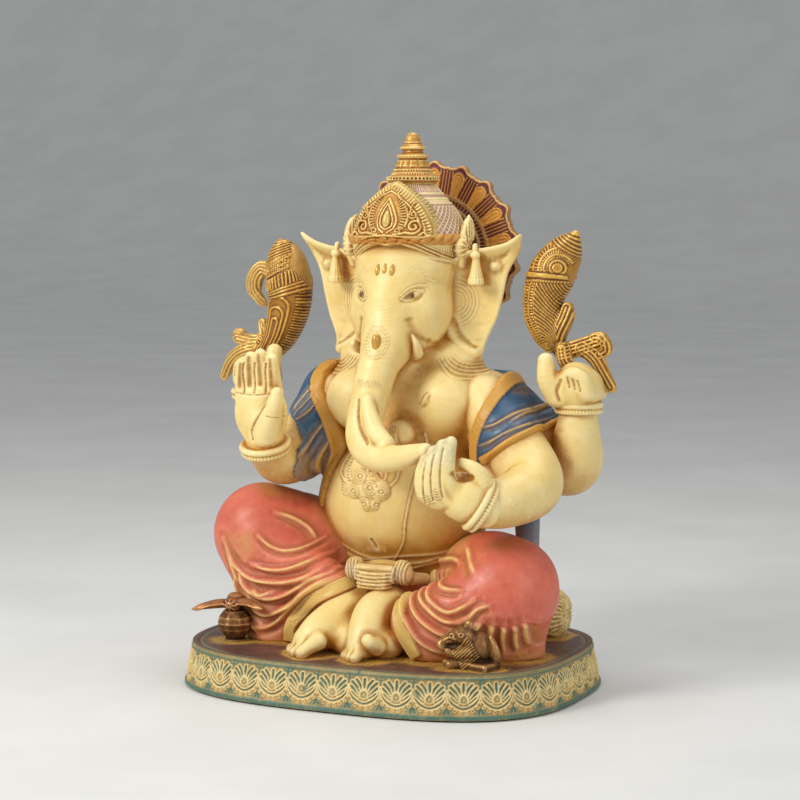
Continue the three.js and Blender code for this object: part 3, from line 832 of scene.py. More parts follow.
def fold(piece, line, width, height, where):
    """A cloth fold: a rounded roll with a hollow under it, fading out at both ends."""
    line = smooth_line(line, 6)
    d, s, run = along(piece.p[:, [0, 2]], line)
    fade = 0.2 + 0.8 * (rise(s, 0, run * 0.25) * rise(run - s, 0, run * 0.18))
    near = (s > 0.5) & (s < run - 0.5)
    ridge = hump(d, width)
    hollow = hump(d + 1.9 * width, 1.3 * width) + 0.35 * hump(d - 2.0 * width, 1.4 * width)
    uneven = 0.75 + 0.35 * pattern(int(abs(line[0, 0])), 34)(piece.p)
    piece.paint("gilt", where * near * fade * uneven * np.exp(-((d / (0.5 * width)) ** 4)))
    # painted shade in ochre in the hollow beside the fold
    piece.paint("ochre_and_shade", where * near * fade * 0.55 * hollow)
    return where * fade * (height * ridge - 0.75 * height * hollow)


def band(piece, line, half, height, where, pitch=2.6):
    """A textured hem with a raised edge and slanting hatches."""
    line = smooth_line(line, 6)
    d, s, run = along(piece.p[:, [0, 2]], line)
    inside = rise(half - np.abs(d), 0, 1.0)
    ends = (s > 0.5) & (s < run - 0.5)
    hatch = 0.5 + 0.5 * np.cos(math.tau * (s + 0.7 * d) / pitch)
    edge = hump(np.abs(d) - half + 1.4, 1.0)
    weave = hatch * (np.abs(d) < half - 2.4)
    piece.paint("trim", inside * where * ends)
    piece.paint("line", weave * where * ends * 0.35)
    return where * ends * (inside * height + edge * 0.9 + weave * 0.55)


# ---------------------------------------------------------------- legs and hips
floor_cut = above(GROUND)
leg_fields = {
    "right": both(4, join(
        20,
        tube([(-72, 72, 121, 66), (-130, 20, 168, 67), (-178, -24, 192, 61)], 4),
        tube([(-178, -26, 190, 60), (-150, -40, 160, 52), (-112, -48, 139, 46), (-52, -60, 121, 35)], 4),
        tube([(-176, -24, 178, 54), (-160, -38, 120, 46), (-148, -40, 70, 44)], 3),
        tube([(-130, -46, 110, 40), (-100, -52, 78, 30)], 1),
    ), floor_cut),
    "left": both(4, join(
        20,
        tube([(72, 72, 112, 64), (132, 12, 144, 62), (182, -44, 148, 60)], 6),
        tube([(182, -46, 142, 58), (140, -74, 120, 48), (106, -86, 106, 44), (78, -92, 102, 35)], 6),
        tube([(180, -44, 122, 54), (176, -42, 76, 38)], 3),
        tube([(206, -30, 90, 18), (204, -28, 66, 20)], 1),
        tube([(128, -78, 92, 44), (96, -88, 76, 32)], 1),
    ), floor_cut),
}
legs = {
    "right": shape("leg_right_sculpt", leg_fields["right"], (-246, -108, 50), (-10, 140, 262), 1.6, 6),
    "left": shape("leg_left_sculpt", leg_fields["left"], (10, -146, 50), (252, 140, 226), 1.6, 6),
}
leg = legs["right"]
where = (leg.n[:, 1] < 0.35).astype(np.float32)
lift = leg.level()
for line, width, height in (
    ([(-139, 225), (-122, 217), (-105, 204), (-92, 188)], 2.0, 1.6),
    ([(-152, 195), (-137, 183), (-118, 177), (-98, 180), (-86, 190)], 2.2, 2.4),
    ([(-160, 158), (-136, 153), (-112, 154), (-88, 162), (-76, 170)], 3.0, 4.0),
    ([(-206, 188), (-194, 166), (-178, 148), (-155, 138), (-119, 137), (-90, 143), (-66, 157)], 3.6, 5.4),
    ([(-192, 160), (-184, 138), (-168, 122), (-147, 113), (-112, 121), (-76, 143), (-50, 155)], 3.4, 5.0),
    ([(-163, 125), (-150, 118), (-133, 123)], 2.6, 2.6),
    ([(-176, 116), (-160, 98), (-138, 92), (-108, 108), (-76, 134), (-42, 151)], 3.4, 5.0),
    ([(-162, 74), (-146, 74), (-128, 84), (-104, 106), (-72, 132), (-36, 148)], 3.4, 4.6),
    ([(-206, 172), (-198, 148), (-190, 128)], 2.6, 2.0),
    ([(-199, 140), (-192, 116), (-182, 96)], 2.8, 3.0),
    ([(-184, 108), (-172, 84), (-158, 66)], 3.0, 3.0),
):
    lift += fold(leg, line, 1.12 * width, 1.35 * height, where)
lift += band(leg, [(-112, 58), (-109, 78), (-99, 92), (-68, 120), (-24, 143)], 8.5, 3.2, where)
leg.raise_by(lift)
# Painted shade in ochre, darker towards the floor, and an ochre patch on the front of the knee.
low = np.clip((118 - leg.p[:, 2]) / 60, 0, 1) * 0.55
leg.paint("ochre_and_shade", low + 0.75 * rise(-leg.p[:, 1] - 10, 0, 60)
          * np.exp(-(((leg.p[:, 0] + 178) / 24) ** 2 + ((leg.p[:, 2] - 182) / 20) ** 2)))

leg = legs["left"]
where = (leg.n[:, 1] < 0.3).astype(np.float32)
lift = leg.level()
for line, width, height in (
    ([(104, 160), (112, 152), (128, 149), (146, 150)], 2.4, 2.6),
    ([(90, 158), (98, 142), (111, 132), (133, 123), (151, 130), (163, 139)], 3.2, 4.6),
    ([(77, 154), (88, 138), (105, 126), (128, 113), (150, 111)], 3.2, 4.6),
    ([(68, 150), (76, 134), (92, 116), (114, 101), (140, 90)], 3.2, 4.6),
    ([(60, 146), (68, 124), (82, 102), (100, 82), (131, 68)], 3.2, 4.6),
    ([(156, 112), (166, 126), (182, 134)], 3.0, 2.4),
    ([(160, 74), (163, 96), (172, 112)], 3.6, 3.6),
    ([(174, 66), (177, 88), (186, 108)], 3.8, 4.0),
    ([(188, 66), (191, 86), (199, 106)], 3.8, 4.0),
    ([(202, 68), (205, 86), (211, 108)], 3.6, 3.8),
    ([(214, 74), (217, 92), (221, 112)], 3.4, 3.4),
    ([(40, 160), (70, 166), (98, 174), (124, 176)], 3.0, 2.6),
    ([(118, 192), (140, 186), (160, 170)], 4.0, 1.2),
):
    lift += fold(leg, line, 1.12 * width, 1.35 * height, where)
lift += band(leg, [(56, 152), (62, 128), (71, 96), (88, 62)], 9.0, 3.4, where)
leg.raise_by(lift)
# Painted shade in ochre, darker towards the floor and on the top of the thigh under the belly.
leg.paint("ochre_and_shade", np.clip((100 - leg.p[:, 2]) / 50, 0, 1) * 0.5
          + 0.9 * rise(leg.p[:, 2], 140, 168) * rise(140 - leg.p[:, 0], 0, 50) * (leg.p[:, 1] < 30))

shape("hips_sculpt", both(4, join(10, ball((0, 72, 110), (122, 84, 68)), ball((0, 10, 96), (60, 60, 46))), floor_cut),
             (-130, -60, 50), (130, 162, 184), 2.4)

for word, (a, b, r1, r2) in {"right": ((-62, -54, 116), (-40, -60, 114), 31, 30),
                             "left": ((84, -84, 100), (74, -86, 100), 31, 30)}.items():
    shape(f"hem_{word}_sculpt", both(3, tube([(*a, r1), (*b, r2)], 1), floor_cut),
                            np.minimum(a, b) - 42, np.maximum(a, b) + 42, 1.8)

knot_field = join(
    4,
    box((12, -72, 156), (29, 13, 11), 6, x=-8),
    box((12, -82, 147), (21, 10, 10), 5, x=-10),
    ball((-22, -68, 159), (13, 12, 16), y=18),
    ball((46, -68, 159), (13, 12, 16), y=-18),
    tube([(-26, -62, 147, 9), (-44, -40, 140, 8)], 1),
    tube([(46, -60, 149, 9), (62, -36, 146, 8)], 1),
    ball((12, -50, 152), (38, 22, 18)),
)
knot = shape("waist_sash_sculpt", knot_field, (-74, -104, 118), (94, -20, 186), 1.1)
lift = knot.level()
for k in range(5):
    z = 159 - 4.6 * k
    lift += stroke(knot, [(-14 + k, z), (12, z - 1.5), (38 - k, z)], 1.2, 1.5)
for k in range(4):
    for s in (-1, 1):
        x = 12 + s * (25 + 4.5 * k)
        lift += stroke(knot, [(x, 143), (x + s * 1.5, 159), (x + s * 4, 172)], 1.2, 1.4)
knot.raise_by(lift)
knot.paint("ochre_and_shade", 0.5 + 0.3 * pattern(23, 30)(knot.p))
knot.paint("tint", np.exp(-(((np.abs(knot.p[:, 0] - 12) - 33) / 11) ** 2 + ((knot.p[:, 2] - 157) / 11) ** 2)) * 0.5)

# ---------------------------------------------------------------- feet
def foot(leg_line, heel, toes, toe_turn, spread, curl):
    """A bare foot: instep, heel and five toes, the big toe on the side of lower numbers."""
    body = join(12, tube(leg_line, 8), ball(*heel))
    u = unit(toe_turn)
    v = np.cross(u, (0, 0, 1))
    t = np.array(toes, float)
    parts = []
    for k in range(5):
        r = (8.8, 6.8, 6.4, 6.0, 5.4)[k]
        tip = t + v * spread * (-2.1, -0.8, 0.15, 1.05, 1.9)[k] - u * (1, -1, 1, 5, 10)[k]
        tip[2] = GROUND + r * 0.9
        root = tip - u * 24 + np.array([0, 0, 12.0])
        middle = tip - u * 10 + np.array([0, 0, 5.5])
        if k == 0 and curl:
            tip = tip + np.array([2, 8, 22.0])
            middle = middle + np.array([2, 0, 13.0])
        parts.append(tube([(*root, r * 1.3), (*middle, r), (*tip, r * 0.95)], 5))
    return both(2, join(7, body, join(1.5, *parts)), floor_cut)


feet = {
    "right": shape("foot_right_sculpt",
                   foot([(-12, -54, 114, 25), (-28, -80, 102, 27), (-48, -108, 85, 25), (-62, -126, 72, 18)],
                   ((-6, -98, 74), (34, 30, 26)), (-74, -146, 62), (-0.55, -0.83, 0), 11.5, False),
                   (-128, -182, 50), (40, -16, 162), 1.1, 3),
    "left": shape("foot_left_sculpt",
                  foot([(26, -70, 116, 26), (20, -96, 108, 26), (18, -114, 92, 24), (16, -130, 72, 18)],
                  ((40, -104, 72), (22, 26, 20)), (12, -152, 62), (-0.3, -0.95, 0), 10.5, True),
                  (-36, -184, 50), (84, -42, 168), 1.1, 3),
}
for foot_piece in feet.values():
    # painted shade in ochre low on the feet, near the plinth
    foot_piece.paint("ochre_and_shade", 0.55 * rise(74 - foot_piece.p[:, 2], 0, 18))

# ---------------------------------------------------------------- shawl
arm_tops = [tube(ARM_LINES[n][:4], 3) for n in ("rear_right", "rear_left", "front_right", "front_left")]
cloth_base = join(
    18,
    tube([(110, 52, 360, 34), (134, 40, 304, 34), (122, 46, 256, 28)], 3),
    ball((0, 46, 233), (114, 92, 93)),
    ball((0, 60, 340), (99, 60, 82)),
    tube([(-112, 64, 372, 38), (0, 64, 380, 42), (112, 64, 372, 38)]),
    *arm_tops,
)
LEFT_INNER = [(112, 440), (136, 426), (147, 408), (145, 392), (137, 372), (124, 342), (116, 318), (112, 296)]
LEFT_FRONT = np.array(LEFT_INNER + [(132, 294), (150, 306), (172, 322), (198, 338), (224, 358), (240, 384),
                                    (200, 440)], np.float32)
LEFT_FRONT[:8, 0] -= 8
RIGHT_INNER = [(-88, 440), (-98, 424), (-113, 403), (-110, 380), (-88, 344), (-79, 303), (-90, 258), (-100, 226)]
RIGHT_FRONT = np.array(RIGHT_INNER + [(-126, 226), (-122, 262), (-114, 292), (-118, 318), (-134, 338), (-158, 352),
                                      (-200, 376),
                        (-180, 440)], np.float32)


tail = flat(tube([(124, 116, 320, 14), (140, 104, 268, 19), (150, 95, 226, 20), (153, 90, 180, 18)], 4),
            (140, 100, 250), (0.3, 0.95, 0), 1.6)


def shawl_field(p):
    """A shell just off the body and arms, kept inside the front outlines and a panel at the back."""
    d = cloth_base(p)
    q = p[:, [0, 2]]
    front_part = np.minimum(outline_distance(q, LEFT_FRONT), outline_distance(q, RIGHT_FRONT))
    back = np.maximum(np.abs(p[:, 0]) - 150 + 0.25 * (400 - p[:, 2]), np.maximum(p[:, 2] - 408, 150 - p[:, 2]))
    y_side = p[:, 1] - 84
    front_part = np.maximum(front_part, y_side)
    back = np.maximum(back, -y_side)
    region = np.minimum(front_part, back)
    folds = 2.2 * np.sin(p[:, 0] * 0.21 + 0.012 * p[:, 2]) * rise(p[:, 1], 60, 110)
    shell = d - 4.6 - folds
    return np.minimum(np.maximum(shell, region * 0.9), tail(p))


shawl = shape("shawl_sculpt", shawl_field, (-262, -64, 140), (264, 168, 446), 2.0, 4)
front = facing(shawl, FRONT, -0.2)
where = front.astype(np.float32)
lift = shawl.level()
for line in ([(128, 342), (150, 348), (172, 362), (196, 372)], [(124, 318), (146, 326), (170, 340), (198, 352)],
             [(168, 352), (186, 366), (206, 374)],
             [(132, 300), (150, 312), (176, 330), (208, 350)], [(152, 396), (174, 384), (196, 380)]):
    lift += fold(shawl, line, 2.0, 2.2, where)
for line in ([(-122, 386), (-136, 368), (-146, 352)], [(-110, 366), (-122, 350), (-136, 340)],
             [(-98, 340), (-108, 318), (-112, 296)],
             [(-92, 318), (-101, 292), (-108, 262)], [(-116, 378), (-130, 360), (-142, 346)]):
    lift += fold(shawl, line, 1.8, 2.0, where)
lift += band(shawl, [(x - 1, z) for x, z in LEFT_INNER], 8.5, 2.0, where, pitch=3.1)
lift += band(shawl, [(x - 6, z) for x, z in RIGHT_INNER], 8.5, 2.0, where, pitch=3.1)
lift += band(shawl, [(126, 298), (150, 310), (172, 326), (198, 342), (226, 364)], 5.5, 1.2, where, pitch=3.1)
shawl.raise_by(lift)
# Painted shade in ochre on the low end of the shawl on the idol's right, and ochre on its lower back.
shaded_low_end = rise(334 - shawl.p[:, 2], 0, 50) * rise(-shawl.p[:, 0], 60, 90) * where
shawl.paint("ochre_and_shade", shaded_low_end * 0.75 + 0.5 * rise(shawl.p[:, 1] - 60, 0, 30) * rise(240 - shawl.p[:, 2], 0, 60))

pend = join(3.5, ball((-16, -40, 262), (20, 12, 22)), ball((2, -42, 258), (15, 11, 15)),
            ball((-34, -36, 256), (14, 10, 14)),
            ball((-10, -40, 240), (16, 11, 13)), ball((-26, -36, 282), (16, 10, 22)))
pendant = shape("belly_pendant_sculpt", pend, (-56, -60, 218), (26, -16, 312), 0.9)
lift = pendant.level()
for x, z, r in ((-8, 262, 8), (8, 258, 7), (-34, 256, 8), (-18, 240, 8), (0, 240, 6.5), (-24, 276, 8), (-10, 284, 6)):
    for k in range(5):
        a0 = math.tau * k / 5 + x
        petal = [(x + 0.62 * r * math.cos(a0 + t) * (1 + 0.2 * math.sin(2 * t)), z + 0.62 * r * math.sin(a0 + t))
                 for t in (0, 0.5, 1.0)]
        lift += stroke(pendant, petal, 1.1, 1.2, smooth=0, ink="line", ink_width=0.5)
    lift += stroke(pendant, [(x, z), (x + 0.1, z)], 1.8, 1.6, smooth=0)
    ring = [(x + r * math.cos(t), z + r * math.sin(t)) for t in np.linspace(0, math.tau, 15)]
    lift += stroke(pendant, ring, 1.2, 1.1, smooth=0, ink="line", ink_width=0.5)
pendant.raise_by(lift)


# ---------------------------------------------------------------- turned and gridded pieces
def grid_faces(nu, nv, wrap):
    """Quads of a grid of nu by nv points, closed in its first direction where wrap is set."""
    i = np.arange(nu if wrap else nu - 1)
    j = np.arange(nv - 1)
    i, j = np.meshgrid(i, j, indexing="ij")
    a = i * nv + j
    b = ((i + 1) % nu) * nv + j
    return np.stack([a.ravel(), b.ravel(), (b + 1).ravel(), (a + 1).ravel()], 1)


def turned(name, centre, profile, columns, rows, relief):
    """A turned piece about an upright axis.

    The profile is a list of (radius, height), and relief(angle, height) adds to the radius.
    """
    columns, rows = int(columns / COARSE), int(rows / COARSE)
    line = np.array(profile, float)
    length = np.concatenate([[0], np.cumsum(np.hypot(*np.diff(line, axis=0).T))])
    s = np.linspace(0, length[-1], rows)
    r, z = np.interp(s, length, line[:, 0]), np.interp(s, length, line[:, 1])
    a = np.linspace(0, math.tau, columns, endpoint=False)
    aa, rr = np.meshgrid(a, r, indexing="ij")
    zz = np.broadcast_to(z, aa.shape)
    rr = np.maximum(rr + relief(aa, zz) * (rr > 1.5), 0.02)
    p = np.stack([centre[0] + rr * np.sin(aa), centre[1] - rr * np.cos(aa), zz + centre[2]], -1).reshape(-1, 3)
    piece = Piece(name, p, grid_faces(columns, rows, True))
    piece.aa, piece.zz = aa.ravel(), zz.ravel()
    made.append(piece)
    return piece


def beads(a, z, at, size, count, turn=0.0):
    """Raised round beads in a ring at one height: 0 to 1."""
    return np.clip(np.cos(count * a + turn), 0, 1) ** 0.7 * np.exp(-(((z - at) / size) ** 4))


DOME = [(66, 579), (72, 581), (77.5, 585), (73.5, 594), (68.5, 602), (63.5, 612), (57.5, 621), (51, 629), (45.5, 635),
        (40, 641.5),
        (34, 648), (27, 655), (12, 658), (0, 659)]
CROWN_Y = 58  # the crown's axis


def dome_radius(z):
    return np.interp(z, [q[1] for q in DOME], [q[0] for q in DOME])


def dome_relief(a, z):
    lattice = np.maximum(np.cos(52 * a + z * 0.80), np.cos(52 * a - z * 0.80))
    lattice = rise(lattice, 0.62, 0.97)
    zone = rise(z, 585, 587) * rise(625 - z, 0, 2)
    out = 1.3 * lattice * zone
    for at in (627, 633, 639.5):
        out = out + 1.5 * hump(z - at, 1.5)
    ticks = rise(np.cos(78 * a), 0.1, 0.8) * rise(z, 641, 643) * rise(656 - z, 0, 2)
    return out + 1.3 * ticks


dome = turned("crown_dome_sculpt", (0, CROWN_Y, 0), DOME, 760, 120, dome_relief)
lat = dome_relief(dome.aa, dome.zz)
dome.paint("trim", rise(lat, 0.35, 0.9))
dome.paint("trim", rise(dome.zz, 628.4, 629.4) * rise(632 - dome.zz, 0, 1))

FINIAL = [(0, 650), (31, 652), (32.5, 655.5), (34, 657), (34, 661), (31, 662.5), (27, 664), (26.5, 667),
          (24.5, 668.5), (24.5, 671), (22.5, 672.5),
          (21, 676), (19, 681), (18, 684.5), (20.8, 686), (20.8, 689.5), (17, 691), (13.5, 693), (13, 696),
          (16.6, 697.5), (16.6, 700), (14, 702),
          (12.4, 704), (12, 706), (10.2, 709), (8.9, 713), (6.5, 717), (3.2, 719), (0, 719.3)]


def finial_relief(a, z):
    out = 1.6 * beads(a, z, 659, 2.6, 40) - 1.0 * hump(z - 659, 1.6)
    out = out + 1.2 * beads(a, z, 669.8, 1.6, 44)
    out = out + 1.3 * beads(a, z, 664.8, 1.3, 52)
    petals = np.abs(np.cos(5.5 * a + 0.4)) ** 0.6 * rise(z, 673, 676) * rise(684 - z, 0, 2)
    out = out + 1.8 * petals
    out = out + 0.7 * beads(a, z, 688, 1.2, 30) + 0.8 * beads(a, z, 698.8, 1.1, 22)
    return out - 0.8 * hump(z - 704.6, 0.8)


finial = turned("crown_finial_sculpt", (2.4, CROWN_Y, 0), FINIAL, 420, 190, finial_relief)
# painted shade in the gaps between the beads
finial.paint("deep", rise(beads(finial.aa, finial.zz, 659, 2.2, 40, math.pi), 0.3, 0.7) * 0.9)


def band_low(a):
    """Lower edge of the crown band, which arches over the forehead and drops at the temples."""
    t = np.abs((a + math.pi) % (math.tau) - math.pi)
    edge = np.interp(t, [0, 0.25, 0.5, 0.75, 1.0, 1.25, 1.6, math.pi], [574, 574, 568, 560, 553, 548, 545, 545])
    return edge - 2.0 * hump(t, 0.1)


def crown_band_points(columns=760, rows=90):
    columns, rows = int(columns / COARSE), int(rows / COARSE)
    a = np.linspace(0, math.tau, columns, endpoint=False)
    v = np.linspace(0, 1, rows)
    aa, vv = np.meshgrid(a, v, indexing="ij")
    low = band_low(aa)
    # 0..0.06 under lip, 0.06..0.94 face, 0.94..1 top lip
    f = np.clip((vv - 0.06) / 0.88, 0, 1)
    z = low + (588 - low) * f
    r = 70 + 6.5 * np.sin(np.clip((z - 540) / 44, 0, 1.2) * 1.3)
    depth = z - low
    relief = 2.6 + 1.6 * np.cos(math.tau * (depth - 2.2) / 4.6) * (depth < 12)
    top = 588 - z
    leaf = np.abs(np.cos(17 * aa + 0.16 * top)) ** 0.7
    row = np.sin(np.clip(top / 14, 0, 1) * math.pi)
    relief = relief + (top < 14) * (rise(14 - top, 0, 2) * (0.6 + 4.4 * leaf * row))
    hatch = rise(np.cos(110 * aa), 0, 0.8) * ((depth > 12) & (top > 15))
    relief = relief + 0.4 * hatch
    r = r + relief
    r = np.where(vv < 0.06, 62 + (r - 62) * (vv / 0.06), r)
    r = np.where(vv > 0.94, r - (vv - 0.94) / 0.06 * 6, r)
    squash = 1 - 0.045 * np.abs(np.sin(aa)) * np.clip((588 - z) / 30, 0, 1)
    p = np.stack([r * squash * np.sin(aa), CROWN_Y - r * np.cos(aa), z], -1)
    return p.reshape(-1, 3), grid_faces(columns, rows, True), top.ravel()


pts, faces, band_top = crown_band_points()
crown_band = Piece("crown_band_sculpt", pts, faces)
made.append(crown_band)
crown_band.paint("gilt", rise(13.5 - band_top, 0, 1))

# The leaf-shaped plaque on the crown's front: a curved grid in x and z with relief.
FRONT_LINE = [(0, 654), (10, 649.5), (20, 643), (31, 634.5), (41, 625), (49, 613), (54.5, 601), (58, 590), (57, 582),
              (30, 578.5), (0, 577)]
PLAQUE_STEP = 0.55 * COARSE
px = np.arange(-64, 64.01, PLAQUE_STEP)
pz = np.arange(572, 660.01, PLAQUE_STEP)
gx, gz = np.meshgrid(px, pz, indexing="ij")
flat_xz = np.stack([gx.ravel(), gz.ravel()], 1).astype(np.float32)
half_line = np.array(FRONT_LINE, float)
outline = np.vstack([half_line, half_line[-2:0:-1] * [-1, 1]])
outline = smooth_line(np.vstack([outline, outline[:1]]), 4)[:-1]
edge = -outline_distance(flat_xz, outline)
sx = np.abs(flat_xz[:, 0])
fx = flat_xz.copy()
fx[:, 0] = sx


def draw(line, width, height, smooth=5):
    """Height of a raised line on the right half of the plaque, mirrored by the folded x."""
    line = smooth_line(line, smooth) if smooth else np.array(line, float)
    return height * np.exp(-((np.abs(along(fx, line)[0]) / width) ** 2.4))


def curl(cx, cz, r0, r1, a0, a1):
    t = np.linspace(0, 1, 26)
    a = np.radians(a0 + (a1 - a0) * t)
    r = r0 + (r1 - r0) * t
    return np.stack([cx + r * np.cos(a), cz + r * np.sin(a)], 1)


h = 1.2 * rise(edge, 0, 2.5)
flames = np.abs(np.sin(along(fx, smooth_line(FRONT_LINE[:8], 5))[1] * math.pi / 4.6)) ** 0.6
h = h + 2.2 * flames * rise(8.5 - edge, 0, 1.5) * rise(edge, 0.3, 2) * (flat_xz[:, 1] > 590)
h = h + 2.2 * hump(edge - 10.2, 1.2) * (flat_xz[:, 1] > 596)
teardrop = [(0, 627), (5.5, 617), (8.6, 607), (7.2, 598), (0, 594)]
h = h + draw(teardrop, 1.5, 2.6)
ring2 = [(0, 633), (8, 621), (13, 608), (11, 596), (3, 590)]
h = h + draw(ring2, 1.5, 2.2)
jewel_dot = np.hypot(fx[:, 0] / 5.4, (fx[:, 1] - 605) / (8.6 + 0.35 * (fx[:, 1] - 605).clip(0)))
h = h + 6.5 * np.sqrt(np.clip(1 - jewel_dot ** 2, 0, 1))
d_arc, s_arc, _ = along(fx, smooth_line([(14, 634), (20.5, 622), (22.5, 609), (20, 597)], 6))
h = h + 1.9 * rise(np.cos(math.tau * s_arc / 3.6), -0.1, 0.6) * (np.abs(d_arc) < 3.6) * (s_arc > 0)
h = h + draw([(10, 640), (17, 631), (25, 620), (27.5, 608), (25, 598)], 1.3, 2.2)
h = h + draw(np.vstack([[(20, 588)], [(27, 590)], curl(36, 598, 9.5, 2.0, -110, 430)]), 1.7, 3.4, 0)
h = h + draw(np.vstack([[(33, 628)], [(31, 620)], curl(34, 613, 5.6, 1.2, 200, 620)]), 1.3, 2.8, 0)
h = h + draw(np.vstack([[(12, 588)], curl(16, 592, 4.6, 1.2, -120, 320)]), 1.2, 2.4, 0)
h = h + draw([(40, 607), (46, 600), (50, 591), (55, 587)], 2.0, 2.8)
h = h + draw([(44, 587), (49, 590), (53, 585)], 1.6, 2.4)
h = h + draw([(0, 586.5), (14, 585.5), (28, 583.5), (44, 583), (57, 585)], 1.5, 2.8)
h = h + draw([(0, 581), (14, 581), (30, 580), (46, 579.5)], 1.2, 1.8)
h = h + 3.4 * np.sqrt(np.clip(1 - np.hypot(fx[:, 0] / 3.2, (fx[:, 1] - 585) / 5) ** 2, 0, 1))
proud = 5.0 + 0.34 * np.clip(flat_xz[:, 1] - 596, 0, 100)
radius = dome_radius(flat_xz[:, 1]) + proud + np.where(edge < 0, edge * 3.0, 0) + h
y = CROWN_Y - np.sqrt(np.maximum(radius ** 2 - flat_xz[:, 0] ** 2, 1))
keep = edge > -0.6 - 2.6 * flames * (flat_xz[:, 1] > 588)
faces = grid_faces(gx.shape[0], gx.shape[1], False)
faces = faces[keep[faces].all(1)]
used = np.unique(faces)
remap = np.full(len(flat_xz), -1)
remap[used] = np.arange(len(used))
plaque_points = np.stack([flat_xz[:, 0], y, flat_xz[:, 1]], 1)[used]
faces = remap[faces]
n_front = len(plaque_points)
back_points = plaque_points.copy()
back_points[:, 1] = (CROWN_Y - np.sqrt(np.maximum((dome_radius(back_points[:, 2]) - 3) ** 2 - back_points[:, 0] ** 2,
                                                  1)))
back_points[:, 1] = np.minimum(np.maximum(back_points[:, 1], plaque_points[:, 1] + 0.6), plaque_points[:, 1] + 7)
sides = np.concatenate([faces[:, [k, (k + 1) % 4]] for k in range(4)])
key = np.sort(sides, 1)
_, first, count = np.unique(key, axis=0, return_index=True, return_counts=True)
rim = sides[first[count == 1]]
walls = np.stack([rim[:, 1], rim[:, 0], rim[:, 0] + n_front, rim[:, 1] + n_front], 1)
plaque = Piece("crown_front_sculpt", np.vstack([plaque_points, back_points]),
               np.vstack([faces, faces[:, ::-1] + n_front, walls]))
made.append(plaque)


# The fan behind the crown: a thick polar grid with loops and ridges.
FAN_C = np.array([0, 139, 560.0])
fa_n, fr_n = int(900 / COARSE), int(96 / COARSE)
fa = np.linspace(0, math.tau, fa_n, endpoint=False)
LOOPS = 18  # lobes round the rim
ph = (fa - math.radians(10)) * LOOPS / (math.tau) % 1 - 0.5
outer_r = 115.5 + 7.5 * np.clip(1 - np.abs(ph) * 3.6, 0, 1) ** 0.9 + 1.0 * np.abs(np.sin(ph * math.pi * 5))
s = np.linspace(0, 1, fr_n)
aa, ss = np.meshgrid(fa, s, indexing="ij")
rr = 24 + (outer_r[:, None] - 24) * ss
pp = np.broadcast_to(ph[:, None], aa.shape)
arc = pp * rr * math.tau / LOOPS
loop_half = 4.2 + 3.2 * rise(rr, 80, 104)
loop_d = np.where(rr > 104, np.hypot(arc, (rr - 104)), np.abs(arc))
in_outer = rr > 78
loop_line = hump(loop_d - loop_half, 1.4) * in_outer
loop_core = hump(loop_d - 2.4, 1.1) * in_outer * (rr < 109)
ridges = (rise(np.cos(math.tau * (0.5 - np.abs(pp)) * rr * math.tau / LOOPS / 4.4), 0.2, 0.9)
          * (np.abs(arc) > loop_half + 2) * in_outer * (rr < outer_r[:, None] - 5))
ticks = rise(np.cos(88 * aa), 0.55, 0.95) * ((rr > 66.5) & (rr < 74.5))
edges = sum(hump(rr - at, 1.2) for at in (64, 66, 75.5, 78))
rim_line = hump(rr - (outer_r[:, None] - 1.6), 1.6)
relief = 2.4 * loop_line + 1.5 * loop_core + 1.4 * ridges + 1.0 * ticks + 1.6 * edges + 1.8 * rim_line
inner_ridge = rise(np.cos(72 * aa), 0.2, 0.9) * ((rr > 30) & (rr < 62))
relief = relief + 0.9 * inner_ridge
bowl = 1.5 * np.cos(np.clip(rr / 120, 0, 1) * math.pi)
front_y = FAN_C[1] - 4.0 - relief + bowl
x = FAN_C[0] + rr * np.sin(aa)
z = FAN_C[2] + rr * np.cos(aa)
front_pts = np.stack([x, front_y, z], -1).reshape(-1, 3)
back_relief = 1.4 * loop_line + 0.9 * ridges + 1.4 * rim_line + 1.0 * edges
back_pts = np.stack([x, FAN_C[1] + 4.2 + back_relief, z], -1).reshape(-1, 3)
f1 = grid_faces(fa_n, fr_n, True)
i = np.arange(fa_n)
j = (i + 1) % fa_n
total = fa_n * fr_n
outer_wall = np.stack([i * fr_n + fr_n - 1, j * fr_n + fr_n - 1, j * fr_n + fr_n - 1 + total, i * fr_n + fr_n - 1
                       + total], 1)
inner_wall = np.stack([j * fr_n, i * fr_n, i * fr_n + total, j * fr_n + total], 1)
fan = Piece("crown_fan_sculpt", np.vstack([front_pts, back_pts]),
            np.vstack([f1, f1[:, ::-1] + total, outer_wall, inner_wall]))
made.append(fan)
gold_line = np.clip(loop_line + loop_core + ridges * 0.9 + 0.8 * rim_line, 0, 1)
loop_fill = (loop_d < loop_half + 1.5) * in_outer
fan.paint("gilt", np.tile(np.maximum(gold_line, loop_fill).ravel(), 2))
fan.paint("trim", np.tile(np.clip(edges + 0.9 * rim_line + ticks * 0.8, 0, 1).ravel(), 2))
fan.paint("tint", np.tile(((rr < 63) * 0.8).ravel(), 2))

